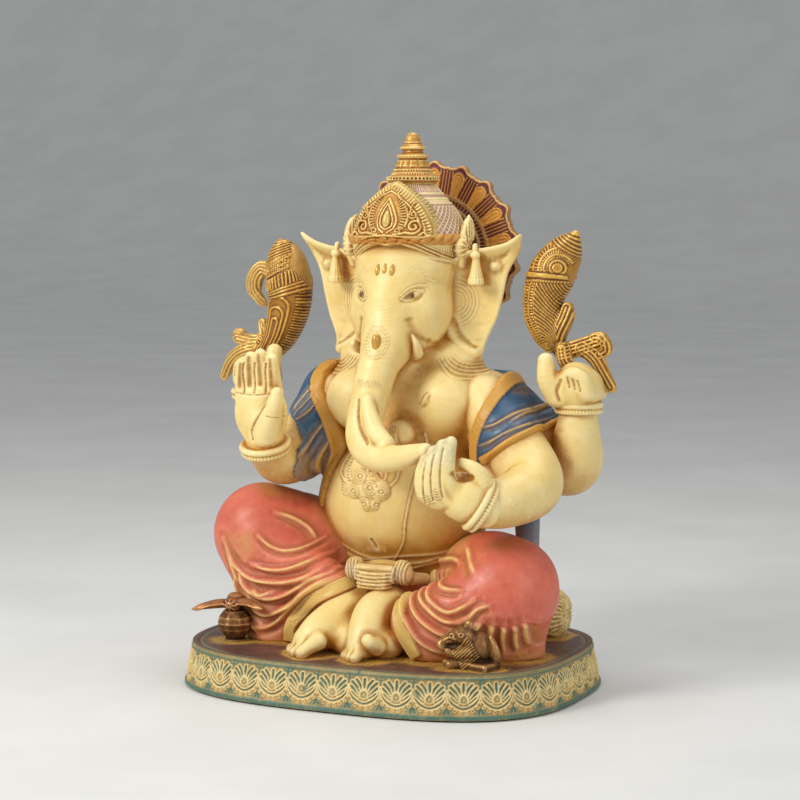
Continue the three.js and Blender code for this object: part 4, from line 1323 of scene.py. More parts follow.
# Rosettes with their ribbons at the temples.
for word, side in SIDES:
    ribbon = flat(tube([(side * 82, 44, 572, 13), (side * 84, 52, 588, 14), (side * 82, 58, 602, 8),
                        (side * 78, 62, 610, 3)], 5),
                  (side * 83, 50, 590), (1, 0, 0), 2.2)
    body = join(3, ball((side * 79, 40, 570), (8, 12, 13)), ribbon,
                tube([(side * 80, 42, 560, 7), (side * 78, 46, 548, 6)], 2))
    rose = shape(f"crown_rosette_{word}_sculpt", body, (min(side * 64, side * 96), 18, 536),
                 (max(side * 64, side * 96), 80, 618), 1.0)
    lift = rose.level()
    for k in range(9):
        a0 = math.tau * k / 9
        lift += stroke(rose, [(40 + 3 * math.cos(a0), 570 + 3 * math.sin(a0)),
                              (40 + 10 * math.cos(a0), 570 + 11 * math.sin(a0))],
                       1.4, 1.6, axes=(1, 2), smooth=0)
    for k in range(6):
        y0 = 37 + 4.4 * k
        lift += stroke(rose, [(y0, 580), (y0 + 1, 592), (52 + 0.55 * (y0 - 46), 606)], 1.2, 1.4, axes=(1, 2),
                       smooth=3)
    rose.raise_by(lift)


# ---------------------------------------------------------------- held horns
def strip_lines(piece, line, height, pitch):
    """Ridges along a scroll. Returns the height, and whether each point is on the scroll."""
    line = smooth_line(line, 6)
    d, s, run = along(piece.p[:, [0, 2]], line[:, [0, 2]])
    wide = np.interp(s, np.linspace(0, run, len(line)), line[:, 3])
    on = np.abs(d) < wide + 1.5
    return on * height * rise(np.cos(math.tau * d / pitch), -0.5, 0.8), on


RIGHT_SHELL = [(-222, 80, 424, 15), (-206, 78, 444, 21), (-196, 78, 468, 26), (-191, 80, 494, 29),
               (-193, 82, 520, 31),
               (-198, 84, 544, 27), (-204, 86, 560, 16), (-207, 86, 569, 7), (-208, 86, 574, 3.5)]
RIGHT_CURL = [(-222, 80, 532, 8), (-234, 80, 536, 10), (-244, 80, 524, 11.5), (-246, 80, 508, 9.5),
              (-238, 78, 496, 7), (-230, 78, 488, 4)]
RIGHT_LEAVES = [
    [(-224, 76, 440, 9), (-240, 74, 436, 10), (-256, 72, 438, 8), (-266, 72, 440, 7)],
    [(-236, 72, 428, 12), (-258, 70, 422, 11), (-276, 70, 408, 9), (-288, 70, 388, 5)],
    [(-226, 78, 430, 9), (-226, 76, 448, 9), (-230, 76, 462, 6)],
]
LEFT_SHELL = [(190, 78, 448, 13), (184, 78, 464, 20), (178, 80, 486, 25), (180, 80, 512, 27), (190, 80, 536, 30),
              (200, 82, 554, 27),
              (210, 84, 570, 18), (217, 86, 581, 9), (220, 86, 588, 4)]
LEFT_LEAVES = [
    [(196, 76, 446, 10), (202, 74, 462, 12), (210, 76, 480, 11), (214, 76, 494, 7)],
    [(204, 80, 436, 9), (222, 80, 440, 11), (240, 82, 446, 11), (256, 82, 452, 10)],
    [(236, 80, 440, 9), (252, 78, 428, 9), (264, 76, 410, 8), (274, 76, 392, 6)],
    [(210, 70, 440, 8), (216, 64, 424, 9), (226, 62, 414, 6)],
    [(250, 80, 456, 6), (262, 80, 452, 7), (266, 80, 440, 6), (258, 80, 434, 4)],
]
right_line = smooth_line(RIGHT_SHELL, 6)
left_line = smooth_line(LEFT_SHELL, 6)
conch_r = shape("conch_right_sculpt", join(
    4, tube(RIGHT_SHELL, 8), flat(tube(RIGHT_CURL, 6), (-240, 80, 516), (0, 1, 0), 1.5),
    *[tube(q, 6) for q in RIGHT_LEAVES],
    ball((-266, 74, 446), (10, 10, 9)),
), (-304, 42, 376), (-154, 124, 584), 1.0, 3)
q = conch_r.p[:, [0, 2]]
d, s, run = along(q, right_line[:, [0, 2]])
wide = np.interp(s, np.linspace(0, run, len(right_line)), right_line[:, 3])
body = np.abs(d) < wide + 1.5 + 12 * rise(s, run - 42, run - 18)
lift = conch_r.level()
top = rise(s, run - 44, run - 43)
lift += body * rise(s, run - 22, run - 21) * 1.1 * np.cos(math.tau * s / 4.0)
lift += (body * top * rise(run - 23 - s, 0, 1) * 0.8 * np.cos(math.tau * (s + 0.4 * d) / 3.2)
         * np.cos(math.tau * (s - 0.6 * d) / 3.8))
slanted = s + 0.22 * d
for at, amount in ((run - 42, 1.5), (run - 36, 0.9), (run - 30, 1.4)):
    lift += body * amount * hump(slanted - at, 1.2)
rope = rise(slanted, run - 41, run - 40) * rise(run - 31 - slanted, 0, 1)
lift += body * rope * 0.7 * np.cos(math.tau * (d + 0.6 * s) / 3.4) * np.cos(math.tau * (d - 0.6 * s) / 3.4)
flute = rise(slanted, run - 64, run - 63) * rise(run - 46 - slanted, 0, 2)
turn_d = np.arcsin(np.clip(d / np.maximum(wide + 2, 1), -1, 1)) * wide
lift += body * flute * 1.5 * rise(np.cos(math.tau * turn_d / 5.0), -0.4, 0.7)
for at in (run - 66, run - 70, run - 75):
    lift += body * 1.6 * hump(slanted - at, 1.3)
lower = rise(run - 77 - slanted, 0, 2)
share = d / np.maximum(wide, 1)
for centre, half, reach_ in ((0.16, 0.16, 0.62), (0.16, 0.36, 0.8), (0.16, 0.56, 0.96)):
    limit = run - 79 - (1 - reach_) * 60
    loop = np.abs(np.hypot((share - centre), np.clip(s - limit + 10, 0, 100) / 26) - half)
    lift += body * lower * 1.3 * hump(loop, 0.055)
ticked = lower * (share < -0.62) * body
lift += ticked * 1.3 * rise(np.cos(math.tau * s / 3.4), -0.2, 0.6)
lift += lower * (share > 0.84) * body * 0.9 * rise(np.cos(math.tau * s / 3.4), -0.2, 0.6)
extra = np.zeros_like(lift)
for line in RIGHT_LEAVES + [RIGHT_CURL]:
    h_, on = strip_lines(conch_r, line, 1.5, 4.6)
    extra = np.where(on & ~body, np.maximum(extra, h_), extra)
lift = np.where(body, lift, extra)
conch_r.raise_by(lift)
# painted shade where the relief is low
conch_r.paint("deep", rise(0.25 - lift, 0, 0.4) * 0.28)
conch_r.paint("pale", ~body * 0.8)

conch_l = shape("conch_left_sculpt", join(4, tube(LEFT_SHELL, 8), *[tube(q, 6) for q in LEFT_LEAVES]),
                (142, 42, 376), (286, 124, 596), 1.0, 3)
q = conch_l.p[:, [0, 2]]
d, s, run = along(q, left_line[:, [0, 2]])
wide = np.interp(s, np.linspace(0, run, len(left_line)), left_line[:, 3])
body = np.abs(d) < wide + 1.5 + 12 * rise(s, run - 42, run - 18)
share = d / np.maximum(wide, 1)
lift = conch_l.level()
lift += body * rise(s, run - 22, run - 21) * 1.1 * np.cos(math.tau * s / 4.0)
slanted = s + 0.42 * d
fan_zone = body * rise(slanted, run - 56, run - 55) * rise(run - 23 - s, 0, 2)
hub = (207, 545)
gap = np.hypot(q[:, 0] - hub[0], q[:, 1] - hub[1])
angle = np.arctan2(q[:, 1] - hub[1], q[:, 0] - hub[0])
net = np.maximum(rise(np.cos(44 * angle), 0.1, 0.8), rise(np.cos(math.tau * gap / 8.5), 0.5, 0.95))
lift += fan_zone * (gap > 12) * 0.9 * net
lift += fan_zone * 1.8 * hump(gap - 9, 1.5) + fan_zone * (gap < 6) * 1.2
ledge = rise(slanted, run - 65, run - 63) * rise(run - 57 - slanted, 0, 2)
lift += body * ledge * 1.9
lift += body * 1.2 * hump(slanted - run + 69, 1.3) * (0.6 + 0.4 * np.cos(math.tau * d / 3.2))
lower = body * rise(run - 71 - slanted, 0, 2)
outer_rows = share > 0.12
rows_d = np.cos(math.tau * (share - 0.12) / 0.30)
lift += (lower * outer_rows * (1.2 * rise(np.cos(math.tau * s / 3.3), -0.3, 0.6) * rise(-rows_d, -0.7, 0.1)
                               + 1.3 * rise(rows_d, 0.6, 0.95)))
feather = np.cos(math.tau * (s * 0.85 + 26 * np.abs(share - 0.12) ** 1.3) / 5.0)
lift += lower * ~outer_rows * 1.3 * rise(feather, -0.2, 0.7)
extra = np.zeros_like(lift)
for line in LEFT_LEAVES:
    h_, on = strip_lines(conch_l, line, 1.5, 4.6)
    extra = np.where(on & ~body, np.maximum(extra, h_), extra)
lift = np.where(body, lift, extra)
conch_l.raise_by(lift)
# painted shade where the relief is low
conch_l.paint("deep", rise(0.25 - lift, 0, 0.4) * 0.28)

# ---------------------------------------------------------------- pot, leaves, mouse, bolster
pot_c = (-186, -90, 55)
POT = [(0, 0), (13, 0.2), (15, 2), (12, 4), (15, 8), (20.5, 16), (22.6, 24), (21, 32), (15, 40), (10.5, 43), (11, 45),
       (13, 47), (12, 49), (0, 50)]
turned("offering_pot_sculpt", pot_c, POT, 220, 110,
             lambda a, z: 0.6 * hump(z - 24, 2) + 0.5 * np.cos(9 * a) * rise(z, 8, 14) * rise(40 - z, 0, 6))
leaf_body = join(
    2.5,
    flat(tube([(-188, -90, 106, 9), (-206, -98, 105, 10), (-224, -106, 99, 7), (-238, -112, 92, 2)], 4),
         (-210, -98, 102), (0, 0, 1), 1.7),
    flat(tube([(-184, -90, 106, 9), (-166, -96, 109, 9.5), (-150, -102, 106, 7), (-137, -108, 102, 2)], 4),
         (-165, -96, 106), (0, 0, 1), 1.7),
    ball((-186, -98, 104), (12, 9, 9)),
    ball((-186, -88, 112), (12, 9, 7)),
)
leaves = shape("pot_leaves_sculpt", leaf_body, (-248, -124, 86), (-128, -74, 124), 0.9)
lift = (stroke(leaves, [(-236, 94), (-214, 102), (-196, 105)], 1.2, 1.6)
        + stroke(leaves, [(-140, 102), (-158, 107), (-176, 106)], 1.2, 1.6))
for k in range(8):
    a0 = math.tau * k / 8
    lift += stroke(leaves, [(-186 + 2.5 * math.cos(a0), 104 + 2.5 * math.sin(a0)),
                            (-186 + 9 * math.cos(a0), 104 + 7.5 * math.sin(a0))], 1.1, 1.3, smooth=0)
leaves.raise_by(lift)

mouse_field = join(
    4,
    box((164, -122, 59), (34, 17, 6), 3, z=-14),
    ball((168, -116, 80), (20, 15, 22), y=14),
    ball((156, -126, 96), (14, 12, 13)),
    tube([(154, -128, 98, 11), (142, -136, 94, 8), (131, -142, 88, 4.5)], 3),
    ball((148, -112, 108), (6, 4, 7)),
    ball((163, -128, 110), (6, 4, 7)),
    tube([(150, -132, 82, 6), (139, -140, 80, 4.6), (132, -144, 84, 4)], 3),
    tube([(164, -134, 78, 7), (152, -144, 76, 5), (143, -148, 80, 4)], 3),
    tube([(158, -128, 64, 9), (142, -138, 61, 6)], 2),
    tube([(184, -110, 62, 6), (196, -118, 66, 5), (198, -124, 82, 4), (190, -122, 96, 3)], 4),
)
mouse = shape("mouse_sculpt", both(2, mouse_field, above(54)), (118, -158, 50), (210, -94, 122), 0.95)
lift = mouse.level()
for k in range(9):
    lift += stroke(mouse, [(176 + 1.5 * k - 12, 96 - 3 * k), (172 + k - 14, 88 - 3.2 * k),
                           (160 + k - 10, 80 - 3 * k)], 1.0, 1.2)
lift += stroke(mouse, [(136, 92), (143, 96), (150, 94)], 1.2, 1.2)
for cx_, cz_ in ((146, 98), (157, 99)):
    ring = [(cx_ + 2.6 * math.cos(t), cz_ + 2.6 * math.sin(t)) for t in np.linspace(0, math.tau, 12)]
    lift += stroke(mouse, ring, 0.9, 1.1, smooth=0)
mouse.raise_by(lift)
mouse.paint("gilt", rise(lift, 0.3, 1.0) * 0.9)

bolster = shape("bolster_sculpt", both(
    3,
    lambda p: np.hypot(p[:, 1] - 112, (p[:, 2] - 86) * 0.98) - 31 - 1.2 * np.cos(14 * np.arctan2(p[:, 2] - 86,
            p[:, 1] - 112))
    + 10 * rise(np.abs(p[:, 0]), 186, 204),
    lambda p: np.abs(p[:, 0]) - 202,
), (-210, 74, 48), (210, 150, 124), 2.0)
radial = np.arctan2(bolster.p[:, 2] - 86, bolster.p[:, 1] - 112)
ends = (np.abs(bolster.p[:, 0]) > 188)
bolster.raise_by(ends * 1.6 * np.cos(26 * radial))

# ---------------------------------------------------------------- plinth
def plinth_outline(n, width, depth, squareness=2.9):
    """Evenly spaced points of a rounded oblong, with outward normals, distance along and perimeter."""
    t = np.linspace(0, math.tau, 4001)
    c, s_ = np.cos(t), np.sin(t)
    x = np.sign(c) * np.abs(c) ** (2 / squareness) * width / 2
    y = np.sign(s_) * np.abs(s_) ** (2 / squareness) * depth / 2
    run = np.concatenate([[0], np.cumsum(np.hypot(np.diff(x), np.diff(y)))])
    at = np.linspace(0, run[-1], n, endpoint=False)
    x, y = np.interp(at, run, x), np.interp(at, run, y)
    tx, ty = np.roll(x, -1) - np.roll(x, 1), np.roll(y, -1) - np.roll(y, 1)
    tx, ty = tx / np.hypot(tx, ty), ty / np.hypot(tx, ty)
    return x, y, ty, -tx, at, run[-1]


PLINTH_COLUMNS, PLINTH_ROWS = int(1500 / COARSE), int(62 / COARSE)
PLINTH_WIDTH, PLINTH_DEPTH = 532, 412
ox, oy, onx, ony, oat, perimeter = plinth_outline(PLINTH_COLUMNS, PLINTH_WIDTH, PLINTH_DEPTH)
MOTIFS = 37  # repeats of the relief round the band
pitch = perimeter / MOTIFS
bz = np.linspace(2.2, 56.5, PLINTH_ROWS)
uu, vv = np.meshgrid(oat, bz, indexing="ij")
phase = (uu / pitch + 0.5) % 1 - 0.5
lx = np.abs(phase) * 40  # a motif is drawn 40 wide, and folded in half
ly = vv - 2.2
pt = np.stack([lx.ravel(), ly.ravel()], 1).astype(np.float32)


def mark(line, width, power=2.6):
    """How near the motif's points are to a line: 1 on it, 0 away from it."""
    d = line_distance(pt, smooth_line(line))
    return np.exp(-((d / width) ** power)).reshape(lx.shape)


SCALLOP = [(20, 32), (18.5, 24.5), (14.5, 18.6), (9, 14.6), (4, 12.6), (0, 12)]
scallop = mark(SCALLOP, 1.05)
scallop2 = mark([(20, 37), (17, 28.6), (12.6, 22.6), (7, 18.6), (3, 16.8), (0, 16.4)], 0.95)
bead_d = np.full(len(pt), 99, np.float32)
scal_line = smooth_line(SCALLOP, 8)
run_s = along(pt, scal_line)[2]
lengths = np.concatenate([[0], np.cumsum(np.hypot(*np.diff(scal_line, axis=0).T))])
for k in range(5):
    at = (k + 0.5) / 5 * run_s
    bx, bzz = np.interp(at, lengths, scal_line[:, 0]), np.interp(at, lengths, scal_line[:, 1])
    j = min(int(np.searchsorted(lengths, at)), len(scal_line) - 1)
    t = scal_line[j] - scal_line[j - 1]
    t = t / np.hypot(*t)
    c = np.array([bx, bzz]) + np.array([-t[1], t[0]]) * 3.2
    below = c if c[1] < bzz else 2 * np.array([bx, bzz]) - c
    bead_d = np.minimum(bead_d, np.hypot(pt[:, 0] - below[0], pt[:, 1] - below[1]))
bead_ring = hump(bead_d - 1.7, 0.6).reshape(lx.shape)
bead_dot = hump(bead_d, 0.9).reshape(lx.shape)
eye_r = np.hypot(pt[:, 0], (pt[:, 1] - 24.5) * np.where(pt[:, 1] > 24.5, 0.72, 1.0))
eye_ring = hump(eye_r - 4.9, 0.75).reshape(lx.shape)
eye_in = hump(eye_r - 2.6, 0.7).reshape(lx.shape)
eye_dot = hump(eye_r, 1.1).reshape(lx.shape)
petals = np.zeros_like(lx)
petal_edges = np.zeros_like(lx)
for line, w in (([(0, 33), (0, 38), (0, 43.5)], 1.9), ([(3.6, 31.5), (5.6, 37), (10.1, 42.5)], 1.7),
                ([(6.2, 28.8), (9.6, 34.0), (15.4, 39.6)], 1.7),
                ([(7.2, 25.2), (11.2, 29.2), (16.6, 34.2)], 1.5), ([(7.2, 21.8), (11.0, 24.4), (15.0, 27.6)], 1.2)):
    gap_ = line_distance(pt, smooth_line(line, 5)).reshape(lx.shape)
    petals = np.maximum(petals, np.exp(-((gap_ / (w + 0.2)) ** 4)))
    petal_edges = np.maximum(petal_edges, hump(gap_ - w - 0.8, 0.8))
tee = np.maximum(mark([(20, 47), (20, 42), (20, 36.5)], 1.3), mark([(13.5, 46.5), (16.5, 44.4), (20, 43.6)], 1.0))
tee = np.maximum(tee, mark([(17.5, 8.5), (18.8, 12.4), (20, 14.5)], 1.1))
rails = np.exp(-(((ly - 49.3) / 1.5) ** 4)) + np.exp(-(((ly - 3.2) / 3.0) ** 6))
gap_fill = mark([(20, 34.5), (17.8, 26.6), (13.6, 20.6), (8, 16.6), (3.5, 14.8), (0, 14.2)], 1.1, 4.0)
under_fill = (ly < 14.0) * rise(13.5 - ly + 0.22 * lx, 0, 3.0) * rise(lx, 6, 13)
filled = np.clip(petals + gap_fill + eye_in + (eye_r < 1.6).reshape(lx.shape) * 0.6 + tee + 0.9 * bead_dot
                 + 0.55 * under_fill, 0, 1)
raised = np.clip(scallop + 0.9 * scallop2 + bead_ring + eye_ring + eye_dot + petal_edges + 0.5 * eye_in, 0, 1.1)
filled = np.clip(filled - 0.75 * raised * (filled < 0.8), 0, 1)
pattern_xyz = np.stack([np.broadcast_to(ox[:, None], lx.shape), np.broadcast_to(oy[:, None], lx.shape), vv],
                       -1).reshape(-1, 3).astype(np.float32)
wear = pattern(3, 46)(pattern_xyz).reshape(lx.shape)
raised = raised * rise(wear, -1.25, -0.55)
filled = np.maximum(filled, 0.8 * rise(-wear, 0.5, 1.2) * (1 - 0.7 * raised))
filled = np.maximum(filled, (0.26 + 0.2 * (ly > 16)) * (1 - np.clip(raised * 1.3, 0, 1)))
crest = np.clip(raised * 1.2 - 0.25, 0, 1)
lean = -11.0 * (vv - 2.2) / 55
out = (lean - 1.2 + 1.5 * raised - 0.35 * filled + 1.9 * np.clip(rails, 0, 1)
       + 0.35 * pattern(5, 9)(pattern_xyz).reshape(lx.shape))
px3 = ox[:, None] + onx[:, None] * out
py3 = oy[:, None] + ony[:, None] * out
face_pts = np.stack([px3, py3, vv], -1)


def ring_row(offset, z):
    return np.stack([ox + onx * offset, oy + ony * offset, np.full(len(ox), z)], -1)[:, None, :]


rows = [ring_row(-9, 2.1), ring_row(-2.0, 2.1)]
tops = [ring_row(-10.8, 56.9), ring_row(-12.5, 57.0), ring_row(-16.0, 56.5), ring_row(-19.6, 55.9), ring_row(-21, 52)]
all_rows = np.concatenate(rows + [face_pts] + tops, 1)
plinth = Piece("plinth_band_sculpt", all_rows.reshape(-1, 3), grid_faces(all_rows.shape[0], all_rows.shape[1], True))
made.append(plinth)
pad_rows = (len(rows), len(tops))


def padded_mask(values):
    return np.pad(values, ((0, 0), pad_rows)).ravel()


plinth.paint("teal", padded_mask(filled))
plinth.paint("pale", padded_mask(crest))
rim_mask = np.pad(np.clip(rails, 0, 1), ((0, 0), pad_rows), constant_values=1)
plum = np.zeros_like(rim_mask)
plum[:, -4:] = 1
plum[:, -5] = 0.5
plinth.paint("plum", plum.ravel())
plinth.paint("teal", rim_mask.ravel() * 0.95)
plinth.paint("mixed", padded_mask(rise(wear, 0.55, 1.0) * 0.75))

tx, ty, *_ = plinth_outline(int(560 / COARSE), PLINTH_WIDTH - 38, PLINTH_DEPTH - 38)
ring_s = np.linspace(0.0, 1.0, int(110 / COARSE))
tp = np.stack([tx[:, None] * ring_s, ty[:, None] * ring_s, np.zeros((len(tx), len(ring_s)))], -1)
tp[..., 2] = 55.7
flat_tp = tp.reshape(-1, 3).astype(np.float32)
flat_tp[:, 2] += 0.5 * pattern(11, 60)(flat_tp) + 0.25 * pattern(12, 14)(flat_tp)
under = np.stack([tx, ty, np.full(len(tx), 49.5)], -1)
top_faces = grid_faces(len(tx), len(ring_s), True)
nv = len(ring_s)
i = np.arange(len(tx))
j = (i + 1) % len(tx)
skirt = np.stack([i * nv + nv - 1, j * nv + nv - 1, len(flat_tp) + j, len(flat_tp) + i], 1)
ground = Piece("plinth_top_sculpt", np.vstack([flat_tp, under]), np.vstack([top_faces[:, ::-1], skirt[:, ::-1]]))
made.append(ground)
edge_share = np.concatenate([np.broadcast_to(ring_s, (len(tx), nv)).ravel(), np.ones(len(tx))])
ground.paint("green", rise(edge_share, 0.965, 1.0) * 0.8)


# ---------------------------------------------------------------- shading masks
def note(field, lo, hi):
    """Adds a solid to the room grid."""
    a = np.maximum(((np.array(lo) - ROOM["lo"]) / ROOM["step"]).astype(int), 0)
    b = np.minimum(((np.array(hi) - ROOM["lo"]) / ROOM["step"]).astype(int), np.array(ROOM["size"]) - 1)
    axes = [ROOM["lo"][i] + ROOM["step"] * np.arange(a[i], b[i] + 1) for i in range(3)]
    g = np.stack(np.meshgrid(*axes, indexing="ij"), -1)
    part = room[a[0] : b[0] + 1, a[1] : b[1] + 1, a[2] : b[2] + 1]
    values = field(g.reshape(-1, 3).astype(np.float32)).reshape(part.shape)
    np.minimum(part, values, out=part)


def slab(p):
    """The plinth as a plain solid, for shading what stands near it."""
    x, y = np.abs(p[:, 0]) / 254, np.abs(p[:, 1]) / 194
    return np.maximum((x ** 2.9 + y ** 2.9) ** (1 / 2.9) * 200 - 200, p[:, 2] - 55)


note(slab, (-320, -250, 0), (320, 250, 130))
note(ball((0, 58, 584), (78, 78, 76)), (-110, -50, 500), (110, 170, 690))
note(lambda p: np.maximum(np.hypot(p[:, 0], p[:, 2] - 560) - 122, np.abs(p[:, 1] - 139) - 5), (-160, 100, 400),
     (160, 190, 720))
note(ball(np.array(pot_c) + (0, 0, 24), 22), (-230, -130, 50), (-140, -50, 130))


# How much of the antique wash and painted shade a piece takes; the face and trunk are kept pale.
WASH_AND_SHADE_SHARE = {"head_and_trunk": 0.6, "ear_right_sculpt": 0.8, "ear_left_sculpt": 0.8, "torso_sculpt": 0.85}


def shade(piece):
    """Masks for the antiquing and painted light: antique wash and painted shade where other surfaces are near,
    painted shade on faces turned down and in grooves, worn edges and painted highlight on ridges.
    """
    n = piece.n
    hidden = piece.level()
    # painted shade where other surfaces are near, read from the room grid
    for reach, weight in ((7, 0.3), (14, 0.3), (26, 0.25), (44, 0.15)):
        hidden += weight * np.clip((reach - sample_room(piece.p + n * reach)) / reach, 0, 1)
    soft = piece.blur(piece.p, 3)
    softer = piece.blur(soft, 6)
    fine = ((piece.p - soft) * n).sum(1)
    broad = ((piece.p - softer) * n).sum(1)
    # painted shade on faces turned down
    under = 0.22 * np.clip(-n[:, 2] - 0.1, 0, 1)
    piece.masks["wash_and_shade"] = np.clip(hidden * 1.75 - 0.3 + under, 0, 1) * WASH_AND_SHADE_SHARE.get(piece.name, 1)
    # painted shade in grooves
    piece.masks["hollow"] = np.clip(np.maximum(piece.mask("hollow") * 0.8, -fine * 5 - broad * 2.2), 0, 1)
    # worn edges and painted highlight on ridges
    piece.masks["rub_and_highlight"] = np.clip(fine * 5 + broad * 2.0 - 0.05, 0, 1)


def to_mesh(piece):
    """A Blender object in metres, with each painted mask as an attribute of its points."""
    mesh = bpy.data.meshes.new(piece.name)
    faces = piece.faces
    mesh.vertices.add(len(piece.p))
    mesh.vertices.foreach_set("co", (piece.p / 1000).astype(np.float32).ravel())
    mesh.loops.add(faces.size)
    mesh.loops.foreach_set("vertex_index", faces.astype(np.int32).ravel())
    mesh.polygons.add(len(faces))
    mesh.polygons.foreach_set("loop_start", np.arange(0, faces.size, 4, dtype=np.int32))
    mesh.update(calc_edges=True)
    mesh.polygons.foreach_set("use_smooth", np.ones(len(faces), bool))
    for name, values in piece.masks.items():
        if values.max() > 0.01:
            layer = mesh.attributes.new(name, "FLOAT", "POINT")
            layer.data.foreach_set("value", values.astype(np.float32))
    mesh.validate()
    obj = bpy.data.objects.new(piece.name, mesh)
    bpy.context.scene.collection.objects.link(obj)
    return obj


# ---------------------------------------------------------------- paint
class Nodes:
    """Short names for the shader nodes of one material."""

    def __init__(self, name):
        self.material = bpy.data.materials.new(name)
        self.material.use_nodes = True
        self.tree = self.material.node_tree
        self.shader = self.tree.nodes["Principled BSDF"]
        self.place = self.tree.nodes.new("ShaderNodeTexCoord").outputs["Object"]

    def put(self, value, socket):
        if isinstance(value, bpy.types.NodeSocket):
            self.tree.links.new(value, socket)
        elif hasattr(value, "__len__") and len(value) == 3 and socket.type == "RGBA":
            socket.default_value = (*value, 1)
        else:
            socket.default_value = value

    def math(self, operation, a, b=0.0, c=0.0, clamp=False):
        node = self.tree.nodes.new("ShaderNodeMath")
        node.operation, node.use_clamp = operation, clamp
        for value, socket in zip((a, b, c), node.inputs):
            self.put(value, socket)
        return node.outputs[0]

    def noise(self, scale, detail=4.0, roughness=0.6, distortion=0.0):
        node = self.tree.nodes.new("ShaderNodeTexNoise")
        self.put(self.place, node.inputs["Vector"])
        for key, value in (("Scale", scale), ("Detail", detail), ("Roughness", roughness),
                           ("Distortion", distortion)):
            node.inputs[key].default_value = value
        return node.outputs["Fac"]

    def mask(self, name):
        node = self.tree.nodes.new("ShaderNodeAttribute")
        node.attribute_name = name
        return node.outputs["Fac"]

    def stretch(self, value, low, high, out_low=0.0, out_high=1.0):
        node = self.tree.nodes.new("ShaderNodeMapRange")
        self.put(value, node.inputs["Value"])
        for key, v in (("From Min", low), ("From Max", high), ("To Min", out_low), ("To Max", out_high)):
            node.inputs[key].default_value = v
        return node.outputs["Result"]

    def mix(self, share, a, b):
        node = self.tree.nodes.new("ShaderNodeMix")
        node.data_type = "RGBA"
        self.put(share, node.inputs[0])
        self.put(a, node.inputs[6])
        self.put(b, node.inputs[7])
        return node.outputs[2]


def srgb(code):
    """A hex colour as linear RGB."""
    values = [int(code[i : i + 2], 16) / 255 for i in (0, 2, 4)]
    return tuple(v / 12.92 if v <= 0.04045 else ((v + 0.055) / 1.055) ** 2.4 for v in values)


def enamel(name, light, dark, layers, rough=0.45, metal=0.0, grain=0.25, grain_scale=900, mottle=22, coat=0.0):
    """Hand-painted metal: two tones of one paint, then antiquing, painted shade, painted highlight and other paints
    laid over it by mask.

    A layer is (mask, colour, gain, break-up scale, break-up amount, roughness change).
    """
    m = Nodes(name)
    cloud = m.noise(mottle, 5, 0.62, 0.4)
    colour = m.mix(m.stretch(cloud, 0.36, 0.66), srgb(dark), srgb(light))
    speck = m.noise(grain_scale * 0.6, 3, 0.7)
    colour = m.mix(m.stretch(speck, 0.55, 0.8, 0, 0.16), colour, srgb(dark))
    roughness = m.stretch(m.noise(mottle * 4, 4, 0.6), 0.3, 0.7, rough - 0.08, rough + 0.1)
    for mask, paint, gain, scale, amount, rougher in layers:
        share = m.mask(mask)
        if scale:
            torn = m.stretch(m.noise(scale, 5, 0.7, 0.3), 0.3, 0.7, 1 - amount, 1 + amount)
            share = m.math("MULTIPLY", share, torn)
        share = m.math("MULTIPLY", share, gain, clamp=True)
        colour = m.mix(share, colour, srgb(paint))
        if rougher:
            roughness = m.math("ADD", roughness, m.math("MULTIPLY", share, rougher), clamp=True)
    fine = m.math("ADD", m.math("MULTIPLY", m.noise(grain_scale, 3, 0.6), 0.6), m.noise(grain_scale * 0.16, 4, 0.6))
    bump = m.tree.nodes.new("ShaderNodeBump")
    bump.inputs["Strength"].default_value = grain
    bump.inputs["Distance"].default_value = 0.0006
    m.put(fine, bump.inputs["Height"])
    m.put(bump.outputs[0], m.shader.inputs["Normal"])
    m.put(colour, m.shader.inputs["Base Color"])
    m.put(roughness, m.shader.inputs["Roughness"])
    m.shader.inputs["Metallic"].default_value = metal
    m.shader.inputs["Coat Weight"].default_value = coat
    m.shader.inputs["Coat Roughness"].default_value = 0.3
    return m.material


OCHRE, BROWN, UMBER = "C08A35", "8A5A22", "4A2C12"
CREAM, CREAM_LOW = "F4DD98", "E9CA78"
